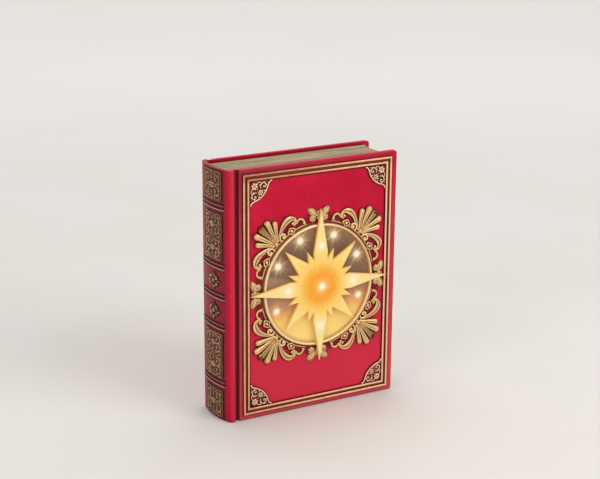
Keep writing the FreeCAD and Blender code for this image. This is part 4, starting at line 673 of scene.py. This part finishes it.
class Relief:
    """Closed skins, and the strands, leaves and beads made of them, on a surface.

    The mirror turns or mirrors what is drawn next. A point without a height of its own lies at the base.
    """

    def __init__(self, lay=lambda u, v, h: (u, v, h), base=0):
        self.lay = lay
        self.base = base
        self.mirror = plain
        self.verts = []
        self.faces = []

    def foot(self, point):
        return point[2] if len(point) > 2 else self.base

    def put(self, points):
        """Add points, mirrored and laid on the surface, and give the number of the first."""
        first = len(self.verts)
        self.verts += [self.lay(*self.mirror(u, v), h) for u, v, h in points]
        return first

    def skin(self, rings, tip=None):
        """Closed skin over rings of points, flat at its ends or with a tip at the last."""
        around = len(rings[0])
        firsts = [self.put(ring) for ring in rings]
        for a, b in zip(firsts, firsts[1:]):
            for k in range(around):
                after = (k + 1) % around
                self.faces.append((a + k, a + after, b + after, b + k))
        self.faces.append(tuple(range(firsts[0], firsts[0] + around)))
        last = firsts[-1]
        if tip:
            top = self.put([tip])
            self.faces += [(last + k, last + (k + 1) % around, top) for k in range(around)]
        else:
            self.faces.append(tuple(range(last, last + around)))

    def strand(self, points, width, rise):
        """Half-round bar along points; width and rise are numbers or functions of the share of the way."""
        last, steps = len(points) - 1, 6
        rings = []
        for i, point in enumerate(points):
            _, heading = bearing(points[max(0, i - 1)], points[min(last, i + 1)])
            half = width(i / last) if callable(width) else width
            tall = rise(i / last) if callable(rise) else rise
            ring = []
            for k in range(steps + 1):
                out, up = rotate(1, 0, 180 * k / steps)
                ring.append((*offset(point, half * out, heading + 90), tall * up + self.foot(point)))
            rings.append(ring)
        self.skin(rings)

    def plate(self, outline, low, high):
        """Flat plate between two heights, from the points of its outline."""
        self.skin([[(u, v, height) for u, v in outline] for height in (low, high)])

    def leaf(self, root, angle, length, width, rise, bend=0):
        """Leaf from a root point: pointed at both ends, bent by so many degrees on the way."""
        steps = 9
        points = [root]
        for i in range(steps):
            points.append(offset(points[-1], length / steps, angle + bend * (i + 0.5) / steps))
        self.strand(points, lambda t: width * arch(min(1, t * 0.92 + 0.06)) ** 0.8 + 0.03,
                    lambda t: rise * arch(min(1, t * 0.9 + 0.08)) + 0.02)

    def bead(self, middle, radius, rise):
        """Half ball, or a flatter or higher dome."""
        around, count, low = 12, 4, self.foot(middle)
        rings = []
        for lift in range(count):
            far, up = rotate(1, 0, 90 * lift / count)
            rings.append([(*offset(middle, radius * far, 360 * k / around), low + rise * up)
                          for k in range(around)])
        self.skin(rings, (*middle[:2], low + rise))

    def spiral(self, start, eye, turns, width, rise):
        """Tapered scroll from a start point that winds into its eye, with a bead there."""
        reach, first = bearing(eye, start)

        def wind(t):
            far = reach * (1 - t) ** 0.8 * (1 - 0.12 * t) + 0.35 * width * t
            return offset(eye, far, first + 360 * turns * t)

        self.strand(spread(wind, max(10, int(abs(turns) * 26))),
                    lambda t: width * (0.55 + 0.45 * arch(0.15 + 0.75 * t)), rise)
        self.bead(eye, width * 1.25, rise * 1.15)

    def flower(self, middle, radius, rise, turn):
        """Six round petals about a bead."""
        for angle in range(0, 360, 60):
            root = offset(middle, radius * 0.18, turn + angle)
            self.leaf(root, turn + angle, radius * 0.85, radius * 0.36, rise)
        self.bead(middle, radius * 0.27, rise * 1.25)

    def piece(self, name, material, slot="gilt", body="case", smooth=True):
        """Make the object and let it ride on a body."""
        mesh = bpy.data.meshes.new(name)
        mesh.from_pydata([Vector(v) * MM for v in self.verts], [], self.faces)
        return finish_mesh(mesh, material, body, smooth)


def front_lay(x, z, side=1, end=1):
    """Face of the front board from a point on it, mirrored or not."""
    return lambda u, v, h: (x + side * u, FRONT_Y - h, z + end * v)


def back_lay(x, z):
    """Face of the back board about a point, seen from behind."""
    return lambda u, v, h: (x - u, BACK_Y - SUNK + h, z + v)


def spine_lay(z):
    """Surface of the gilt plates on the spine: across runs along Y from their middle to the front."""
    plate_curve = SPINE_CURVE + PANEL_RISE

    def lay(u, v, h):
        out, back = rotate(plate_curve - SUNK + h, 0, math.degrees((u + PANEL_SHIFT) / plate_curve))
        return (SPINE_X + SPINE_CURVE - out, MIDDLE_Y - back, z + v)
    return lay


def corner_edge(inset):
    """Points along the swept edge of a corner piece, so far inside it."""
    half = [rotate(CORNER_SWEEP - inset, 0, degrees) for degrees in range(45, 21, -3)]
    half += [(18 - 0.95 * inset, 4.8 - 0.3 * inset), (18.6 - 0.9 * inset, 3.1 - 0.35 * inset),
             (19.5 - 0.7 * inset, 1.8 - 0.5 * inset), (CORNER_LEG - 0.2, 1 - 0.5 * inset)]
    return [(v, u) for u, v in half[:0:-1]] + half


def corner_filigree():
    """Openwork corners: a rim, flowers, tendrils and leaves on a ground dark with glaze and painted shade.
    """
    leg = CORNER_LEG - 0.2
    for name in CORNERS:
        low, high = box_mm(name)
        x, side = (low.x, 1) if "left" in name else (high.x, -1)
        z, end = (low.z, 1) if "bottom" in name else (high.z, -1)
        work = Relief(front_lay(x, z, side, end), CORNER_GROUND - 0.05)
        work.plate(corner_edge(0.1) + [(leg, 0), (0, 0), (0, leg)], -0.05, CORNER_GROUND)
        work.strand([(u, v, 0) for u, v in corner_edge(0.85)], 0.85, 1.9)
        work.flower((4.5, 4.5), 3.5, 1.1, 15)
        work.flower((10.2, 10.2), 2.9, 1.05, 15)
        work.leaf((6.8, 6.8), 45, 1.9, 0.55, 0.9)
        for mirror in (plain, swapped):
            work.mirror = mirror
            work.spiral((10.2, 6.6), (13.3, 4.6), 1.05, 0.62, 1.05)
            work.spiral((7.4, 6), (9.4, 3.4), 0.95, 0.52, 1)
            work.leaf((12.4, 9.4), -22, 3.4, 0.7, 1, -16)
            work.leaf((7.6, 1.2), 0, 4.2, 0.55, 0.9, 8)
            work.leaf((12.4, 1.5), 2, 3, 0.6, 0.95)
            work.leaf((15.4, 2.6), 70, 3.2, 0.6, 0.95, 20)
            work.bead((16.2, 1.4), 0.6, 0.9)
            work.bead((12, 7.6), 0.55, 0.9)
            work.bead((CORNER_LEG - 0.8, 0.9, 0), 1, 1.9)
        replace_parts(work.piece(name.replace("corner", "filigree"), FILIGREE_GILT), name)


def panel_scrolls(work, squeeze):
    """One quarter of the scrolling foliage of a spine panel."""
    def p(u, v):
        return (u, v * squeeze)

    work.spiral(p(2.4, 1.6), p(6.6, 4.6), 1.15, 0.55, 0.58)
    work.spiral(p(6.2, 7.8), p(9.6, 7.2), -0.95, 0.46, 0.52)
    work.spiral(p(8, 1.6), p(10.3, 2.6), 0.9, 0.42, 0.48)
    work.spiral(p(0.6, 4.6), p(2.6, 7.4), -0.9, 0.42, 0.48)
    work.leaf(p(3.6, 2.6), 8, 4.2, 0.75, 0.55, 26)
    work.leaf(p(4.2, 7), 58, 2.9, 0.7, 0.5, -24)
    work.leaf(p(7.6, 5.6), 24, 3, 0.7, 0.5, 20)
    work.leaf(p(9.2, 0.2), 20, 2.4, 0.6, 0.45)
    work.leaf(p(0.4, 3.6), 86, 3, 0.6, 0.5)
    work.bead(p(5, 1), 0.5, 0.4)
    work.bead(p(11.2, 5.2), 0.5, 0.4)
    work.bead(p(4.6, 9), 0.45, 0.4)


def spine_filigree():
    """Scrolling foliage on the four spine panels, inside a border, over small loose leaves."""
    border, inset, tall_panel, pattern_half = 0.7, 2.2, 15, 10
    for node in sorted(named("spine_panel_")):
        low, high = box_mm(node)
        half_w, half_h = (high.y - low.y) / 2, (high.z - low.z) / 2
        work = Relief(spine_lay(middle_mm(node).z))
        w, h = half_w - border, half_h - border
        corners = [(-w, -h), (w, -h), (w, h), (-w, h)]
        for i in range(4):
            work.strand(straight(corners[i - 1], corners[i], 16), 0.42, 0.42)
        w, h = half_w - inset, half_h - inset
        for _ in range(int(half_w * half_h * 0.7)):
            root = (rng.uniform(-w, w), rng.uniform(-h, h))
            work.leaf(root, rng.uniform(0, 360), rng.uniform(1.6, 2.8), rng.uniform(0.28, 0.5),
                      rng.uniform(0.22, 0.42), rng.uniform(-60, 60))
        rows = (0,) if half_h < tall_panel else (-half_h / 2, half_h / 2)
        for row in rows:
            work.mirror = plain
            work.flower((0, row), 3.3, 0.62, 30)
            for side, end in ((-1, -1), (-1, 1), (1, -1), (1, 1)):
                work.mirror = lambda u, v: (side * u, row + end * v)
                panel_scrolls(work, half_h / len(rows) / pattern_half)
        work.piece(node.replace("panel", "filigree"), SPINE_GILT)
    for node in sorted(named("spine_medallion_")):
        spine_cluster(node)


def spine_cluster(node):
    """Round cluster of leaves about a flower, in the place of a medallion of the spine."""
    low, high = box_mm(node)
    half_w, half_h, shift = (high.y - low.y) / 2 + 1.2, (high.z - low.z) / 2 - 0.6, 1.4
    seat = 0.3 - PANEL_RISE
    work = Relief(spine_lay(middle_mm(node).z), seat)

    def p(angle, share):
        cosine, sine = rotate(1, 0, angle)
        share *= 0.8 + 0.2 * (cosine ** 2 - sine ** 2) ** 2
        return (shift + half_w * share * cosine, half_h * share * sine)

    rim = [p(angle, 0.8 + 0.08 * math.cos(math.radians(16 * angle))) for angle in range(0, 360, 5)]
    work.plate(rim, seat - 0.35, seat)
    work.flower(p(0, 0), 2.5, 1.2, 20)
    for k in range(16):
        angle, even = 22.5 * k, k % 2 == 0
        lean = rng.uniform(-22, 22)
        root = p(angle, rng.uniform(0.36, 0.46))
        length, heading = bearing(root, p(angle, 1 if even else 0.86))
        work.leaf(root, heading - lean, length, 0.85 if even else 0.65, rng.uniform(1, 1.35), 2 * lean)
    for angle, side in ((28, 1), (152, -1), (208, 1), (332, -1)):
        work.spiral(p(angle, 0.4), p(angle + 12 * side, 0.66), side, 0.46, 1.15)
    for angle in (62, 118, 242, 298):
        work.bead(p(angle, 0.58), 0.6, 0.9)
    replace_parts(work.piece(node.replace("medallion", "flower"), SPINE_GILT), node)


def round_window(degrees, hundredths):
    """Point outside the bezel, by an angle and by hundredths of the bezel's radius."""
    return rotate(BEZEL + hundredths * UNIT, 0, degrees)


def scroll_lines(bodies, rims, glaze):
    """Full body of a large scroll, its two rims, and a dark line of glaze and painted shade between them.
    """
    width, sweep, zero = 4.3 * UNIT, 300, 36
    broad, tall, begin, whole, steps = 1.28, 1.05, 0.01, 0.98, 44
    eye = round_window(66, 15.96)
    reach, first = bearing(eye, round_window(48, 8.17))

    def middle(share):
        return offset(eye, reach * zero / (zero + sweep * share), first + sweep * share)

    def swell(share):
        if share > 0.5:
            return width * (0.42 + 0.22 * (1 - share))
        return width * (0.42 + 0.58 * arch(min(1, share * 1.6 + 0.1)) ** 2)

    def run(side, length, sunk):
        """Points on the back of the scroll, at a share of its half width."""
        def place(t):
            share = begin + length * t
            _, heading = bearing(middle(share), middle(share + 0.005))
            u, v = offset(middle(share), side * swell(share) * broad, heading + 90)
            return (u, v, tall * swell(share) * math.sqrt(1 - side ** 2) - sunk)
        return spread(place, steps)

    bodies.strand(spread(lambda t: middle(begin + whole * t), steps),
                  lambda t: broad * swell(begin + whole * t), lambda t: tall * swell(begin + whole * t))
    for side in (-0.72, 0.72):
        rims.strand(run(side, 0.8, 0.12), lambda t: 0.16 + 0.22 * arch(t), 0.36)
    glaze.strand(run(0, 0.52, 0.03), lambda t: 0.06 + 0.4 * arch(t), 0.2)


def lozenge_lines(rims, glaze):
    """Lozenge on the bar round the window: bright rim, dark ground of glaze and painted shade, and a bead.
    """
    far, across, along, rise = BEZEL + 6.6 * UNIT, 6.4 * UNIT, 8.2 * UNIT, 1.6

    def corners(share):
        flat = [(across, 0), (0, along), (-across, 0), (0, -along)]
        return [rotate(far + u * share, v * share, LOZENGE_ANGLE) for u, v in flat]

    glaze.plate(corners(0.92), -0.05, rise)
    for i in range(4):
        rims.strand(straight(corners(0.9)[i - 1], corners(0.9)[i], 6), 0.66, rise + 0.7)
    rims.bead((*rotate(far, 0, LOZENGE_ANGLE), rise - 0.05), 1.35, 0.9)


def hollow_flutes(work):
    """Fine flutes in the hollow middle lobe of a shell."""
    hollow = 4.5 * UNIT
    lift = hollow + UNIT
    for k in range(-2, 3):
        def place(t):
            far = HOLLOW_REACH * (0.42 + 0.62 * t)
            inner = hollow * min(1, far / HOLLOW_REACH)
            side = k * 0.36 * inner
            foot = lift - math.sqrt(inner ** 2 - side ** 2) - 0.08
            return (*rotate(BEZEL + SHELL_ROOT * UNIT + far, side, 45), foot)
        work.strand(spread(place, 12), lambda t: 0.12 + 0.22 * t, lambda t: 0.2 + 0.4 * t)


def lobe_ribs(work, glaze, step, share):
    """Rib along each side of a shell's lobe, and a dark line of glaze and painted shade along its middle.
    """
    stem, tip = 2.1 * UNIT, 5.7 * UNIT * share
    reach = 48 * UNIT * share - tip
    root_u, root_v = round_window(45, SHELL_ROOT)
    for lean in (-1, 0, 1):
        start, run, sunk = (0.12, 0.92, 0.12) if lean else (0.34, 0.6, 0.04)

        def place(t):
            along = start + run * t
            across = stem + (tip - stem) * min(1, along)
            side = lean * across * 0.62
            du, dv = rotate(reach * along, side, 45 + LOBE_PITCH * step)
            return (root_u + du, root_v + dv, math.sqrt(across ** 2 - side ** 2) - sunk)

        if lean:
            work.strand(spread(place, 14), lambda t: 0.1 + 0.14 * t, lambda t: 0.16 + 0.16 * t)
        else:
            glaze.strand(spread(place, 14), lambda t: 0.05 + 0.22 * arch(t), 0.17)


def shell_flutes():
    """Relief on and beside each shell: flutes, ribs, scrolls, lozenges and small curls at its root."""
    for name in SHELLS:
        lay = front_lay(WINDOW_X, WINDOW_Z, 1 if "right" in name else -1, 1 if "top" in name else -1)
        scrolls, flutes, glaze = Relief(lay), Relief(lay), Relief(lay)
        hollow_flutes(flutes)
        for mirror in (plain, swapped):
            scrolls.mirror = flutes.mirror = glaze.mirror = mirror
            scroll_lines(scrolls, flutes, glaze)
            lozenge_lines(flutes, glaze)
            flutes.spiral(round_window(45 + 5.6, 2.4), round_window(45 + 8.4, 7.4), 1.1, 1.15, 1.7)
            lobe_ribs(flutes, glaze, 1, 1)
            lobe_ribs(flutes, glaze, 2, 0.86)
        scrolls.piece(name.replace("shell", "scrolls"), FRONT_GILT)
        flutes.piece(name.replace("shell", "flutes"), FLUTE_GILT)
        glaze.piece(name.replace("shell", "glaze"), GLAZE_AND_SHADE)


def petal_veins(work, glaze, middle, rise):
    """Bright veins, and dark veins of glaze and painted shade, on the three petals of a rosette."""
    petal = 7 * UNIT
    ball = ball_radius(petal, rise)
    for heading, reach in ((0, 11 * UNIT), (90, 5.6 * UNIT), (180, 11 * UNIT)):
        centre = offset((0, middle), reach, heading)
        root = offset(centre, -0.35 * petal, heading)
        for fan in (-62, -40, -20, 0, 20, 40, 62):
            def place(t):
                u, v = offset(root, petal * 1.25 * t, heading + fan)
                away = min(petal * 0.98, bearing(centre, (u, v))[0])
                return (u, v, math.sqrt(ball ** 2 - away ** 2) - (ball - rise) - 0.1)
            target = glaze if fan in (-40, 0, 40) else work
            target.strand(spread(place, 8), lambda t: 0.13 + 0.14 * t, lambda t: 0.24 + 0.1 * t)


def leaf_veins(work, glaze, middle, rise, angle):
    """Bright veins, and dark veins of glaze and painted shade, along one leaf of a rosette."""
    half, long = 6.4 * UNIT, 28.5 * UNIT
    belly = ball_radius(half, rise)
    bend = ball_radius(long / 2, belly)
    for share in (-0.72, -0.4, 0, 0.4, 0.72):
        def place(t):
            along = long * (0.34 + 0.58 * t)
            depth = math.sqrt(bend ** 2 - (along - long / 2) ** 2) - (bend - belly)
            side = share * math.sqrt(max(0, depth ** 2 - (belly - rise) ** 2))
            u, v = rotate(along, side, angle)
            return (u, middle + v, math.sqrt(depth ** 2 - side ** 2) - (belly - rise) - 0.1)
        (glaze if abs(share) == 0.4 else work).strand(spread(place, 10), 0.2, 0.28)


def rosette_veins():
    """Veins on the petals and leaves of the four rosettes, and a bead in their middle."""
    middle, rise = BEZEL + 9.4 * UNIT, 4.2 * UNIT
    turns = {"top": 0, "left": 90, "bottom": 180, "right": 270}
    for name in ROSETTES:
        turn = turns[name.split("_")[1]]
        leaf_angle = 40 if turn in (0, 180) else 27
        lay = front_lay(WINDOW_X, WINDOW_Z)
        work, glaze = Relief(lay), Relief(lay)
        for side in (-1, 1):
            work.mirror = glaze.mirror = lambda u, v: rotate(side * u, v, turn)
            leaf_veins(work, glaze, middle, rise, leaf_angle)
        # The second mirror only turns, and stays for the petals and the bead
        petal_veins(work, glaze, middle, rise)
        work.bead((0, middle, rise - 0.35), 1.5, 0.9)
        work.piece(name.replace("rosette", "veins"), FLUTE_GILT)
        glaze.piece(name.replace("rosette", "vein_glaze"), GLAZE_AND_SHADE)


def page_leaves():
    """Layers of leaves on the head, tail and fore edge of the page block."""
    thinnest, thickest, edge_gap = 0.28, 0.62, 0.05
    bounds = [page_low.y + edge_gap]
    while bounds[-1] < page_high.y - 0.6:
        bounds.append(bounds[-1] + rng.uniform(thinnest, thickest))
    bounds[-1] = page_high.y - edge_gap
    offsets = [(rng.uniform(0, 0.22), rng.uniform(0, 6.28), rng.uniform(0, 0.08)) for _ in bounds]
    hollow, root_depth, runs = 4, 0.25, 40
    spine_wall, glue = 2.9, 0.2
    ball = ball_radius((page_high.y - page_low.y) / 2, hollow)
    curve = SPINE_CURVE - spine_wall - glue

    def lift(i, along):
        flat, phase, wave = offsets[i]
        return 0.04 + flat + wave * (1 + math.sin(along * 0.06 + phase))

    def fore(y):
        return page_high.x - (math.sqrt(ball ** 2 - (y - MIDDLE_Y) ** 2) - (ball - hollow))

    def spine_side(y):
        return SPINE_X + SPINE_CURVE - math.sqrt(curve ** 2 - (y - MIDDLE_Y) ** 2)

    def corner(edge, i, t, y, top):
        """Corner of a layer at a share of its length, on its top or at its root."""
        if edge == "fore":
            z = page_low.z + (page_high.z - page_low.z) * t
            return (fore(y) + (lift(i, z) if top else -root_depth), y, z)
        x = spine_side(y) + (fore(y) - spine_side(y)) * t
        up = lift(i, x) if top else -root_depth
        return (x, y, page_high.z + up if edge == "head" else page_low.z - up)

    work = Relief()
    for edge in ("head", "tail", "fore"):
        for i, (near, far) in enumerate(zip(bounds, bounds[1:])):
            square = ((near, True), (far, True), (far, False), (near, False))
            work.skin(spread(lambda t: [corner(edge, i, t, *place) for place in square], runs))
    work.piece("page_leaves", PAPER, "page_cream", smooth=False)


def switch_word(word, x, z):
    """Raised generic word on the back board."""
    curve = bpy.data.curves.new("word", "FONT")
    curve.body = word
    curve.align_x = "CENTER"
    curve.size = 3.4 * MM
    curve.extrude = 0.14 * MM
    curve.bevel_depth = 0.05 * MM
    holder = bpy.data.objects.new("word", curve)
    mesh = bpy.data.meshes.new_from_object(holder)
    mesh.name = "switch_" + word.lower()
    mesh.materials.clear()
    turn = Matrix(((-1, 0, 0), (0, 0, 1), (0, 1, 0))).to_4x4()
    mesh.transform(Matrix.Translation(Vector((x, BACK_Y, z)) * MM) @ turn)
    bpy.data.objects.remove(holder)
    bpy.data.curves.remove(curve)
    finish_mesh(mesh, RED_BACK)


def switch_marks():
    """Words and a clock mark above the three places of the switch, and an arrow on the door."""
    place = middle_mm("switch_body")
    pitch, level, radius = 8.5, place.z + 7.2, 1.5
    switch_word("ON", place.x - pitch, level)
    switch_word("OFF", place.x, level)
    clock = Relief(back_lay(place.x + pitch, level + 1.2))
    clock.strand(spread(lambda t: rotate(radius, 0, 360 * t), 24), 0.2, 0.25)
    clock.strand([(0, -0.1), (0, 0.5), (0, 1)], 0.16, 0.22)
    clock.strand([(-0.1, 0), (0.35, 0), (0.75, 0)], 0.16, 0.22)
    clock.piece("switch_clock", RED_BACK, "cover_red")
    arrow = Relief(back_lay(middle_mm("battery_door").x, box_mm("battery_door")[0].z + 14.5))
    for side in (-1, 1):
        arrow.strand([(0, -2.6), (side * 1.1, -1.3), (side * 2.2, 0)], 0.35, 0.3)
    arrow.strand([(0, -2.4), (0, 0.6), (0, 3.4)], 0.35, 0.3)
    arrow.piece("door_arrow", RED_BACK, "cover_red", "battery_door")


def case_screws():
    """Four screws from behind: domed heads with a cross recess, and threaded shanks."""
    low, high = box_mm("case_screws")
    head, core, thick, tip = 2.6, 1.25, 1.6, 2.2
    dome, recess_depth, slot_half, slot_long = 0.45, 0.85, 0.36, 1.55
    thread_pitch, thread_depth, thread_step = 0.9, 0.24, 0.2
    around = 48
    length = high.y - low.y - thick
    turns = int((length - tip) / thread_step)
    rows = [("head", head * k / 16, 0) for k in range(1, 17)]
    rows += [("ring", head, thick), ("ring", core, thick)]
    rows += [("thread", core, thick + thread_step * k) for k in range(1, turns)]
    rows += [("ring", 0.12, thick + length)]

    def recess(u, v):
        arms = []
        for a, b in ((abs(u), abs(v)), (abs(v), abs(u))):
            inside = min(slot_half - 0.07 * b - a, slot_long - b)
            arms.append(min(1, max(0, inside / 0.12 + 0.5)))
        return recess_depth * max(arms)

    def point(kind, radius, depth, k):
        """Point of a row: across, up, and down from the top of the head."""
        u, v = rotate(radius, 0, 360 * k / around)
        if kind == "head":
            depth = dome * (radius / head) ** 2 + recess(u, v)
        if kind == "thread":
            groove = 1 - thread_depth * abs((depth / thread_pitch - k / around) % 1 - 0.5) * 2
            u, v = u * groove, v * groove
        return u, v, depth

    work = Relief()
    for x in (low.x + head, high.x - head):
        for z in (low.z + head, high.z - head):
            twist = math.degrees(rng.uniform(0, math.pi / 2))
            work.mirror = lambda u, v: rotate(u, v, twist)
            work.lay = lambda u, v, h: (x + u, high.y - h, z + v)
            work.skin([[point(*row, k) for k in range(around)] for row in rows])
    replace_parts(work.piece("case_screw_heads", SCREW, "screw_steel", smooth=False), "case_screws")


corner_filigree()
spine_filigree()
shell_flutes()
rosette_veins()
page_leaves()
switch_marks()
case_screws()


# Floor, light and camera

def make_floor():
    """Plain pale floor that stays as bright far behind the part as beside it."""
    s = Shade("floor_pale", roughness=0.8, specular_ior_level=0.1, emission_color=(240, 236, 232))
    x, y, _ = s.axes()
    s.set(base_color=s.mix(s.noise(0.004, 2).smooth(0.3, 0.7), (232, 230, 227), (236, 234, 232)),
          emission_strength=s.length(x, y).smooth(100, 1850, 0, 0.47))
    reach, below = 9, 0.0003
    mesh = bpy.data.meshes.new("floor")
    mesh.from_pydata([(-reach, -reach, 0), (reach, -reach, 0), (reach, reach, 0), (-reach, reach, 0)], [],
                     [(0, 1, 2, 3)])
    mesh.materials.append(s.mat)
    floor = add_object("floor", mesh)
    floor.location.z = cad_box[0][2] - below


def make_world():
    """Even pale surroundings, brighter where the camera or a gloss looks into them."""
    world = bpy.data.worlds.new("studio")
    scene.world = world
    tree = Tree(world)
    seen = tree.node("LightPath", {}, "Is Camera Ray")
    for kind in ("Is Glossy Ray", "Is Transmission Ray"):
        seen = tree.math("MAXIMUM", seen, tree.node("LightPath", {}, kind))
    soft = tree.node("Background", {0: (1, 0.98, 0.96, 1), 1: 0.42})
    bright = tree.node("Background", {0: (1, 0.99, 0.98, 1), 1: 0.92})
    tree.end("ShaderNodeOutputWorld", tree.node("MixShader", {0: seen, 1: soft, 2: bright}).socket)


def make_lamp(name, place, target, width, power):
    """Soft area lamp that looks at a target."""
    data = bpy.data.lights.new(name, "AREA")
    data.shape = "RECTANGLE"
    data.size, data.size_y = width
    data.energy = power
    data.color = (1, 0.97, 0.93)
    lamp = add_object(name, data)
    lamp.location = place
    lamp.rotation_euler = (Vector(target) - Vector(place)).to_track_quat("-Z", "Y").to_euler()


def make_camera():
    """Camera at the photograph's angle and framing."""
    place = (-0.64366, -1.07901, 0.50517)
    azimuth, elevation, roll = (math.radians(v) for v in (-30.31, 17.77, 0.29))
    data = bpy.data.cameras.new("camera")
    data.lens = 91.03
    data.sensor_width = 36
    data.shift_x = 0.0219
    data.shift_y = 0.0811
    data.clip_start = 0.01
    camera = add_object("camera", data)
    turn = Matrix.Rotation(azimuth, 4, "Z") @ Matrix.Rotation(math.pi / 2 - elevation, 4, "X")
    camera.matrix_world = Matrix.Translation(place) @ turn @ Matrix.Rotation(roll, 4, "Z")
    scene.camera = camera


make_floor()
make_world()
make_lamp("key", (0.55, -1.1, 0.95), (0, 0, 0.11), (0.9, 0.7), 9)
make_lamp("side", (-1.05, -0.45, 0.55), (-0.05, 0, 0.11), (0.5, 0.9), 3)
make_lamp("top", (0.1, 0.35, 1.15), (0, 0, 0.11), (0.8, 0.8), 5)
make_camera()
bpy.context.scene.view_settings.view_transform = "Standard"
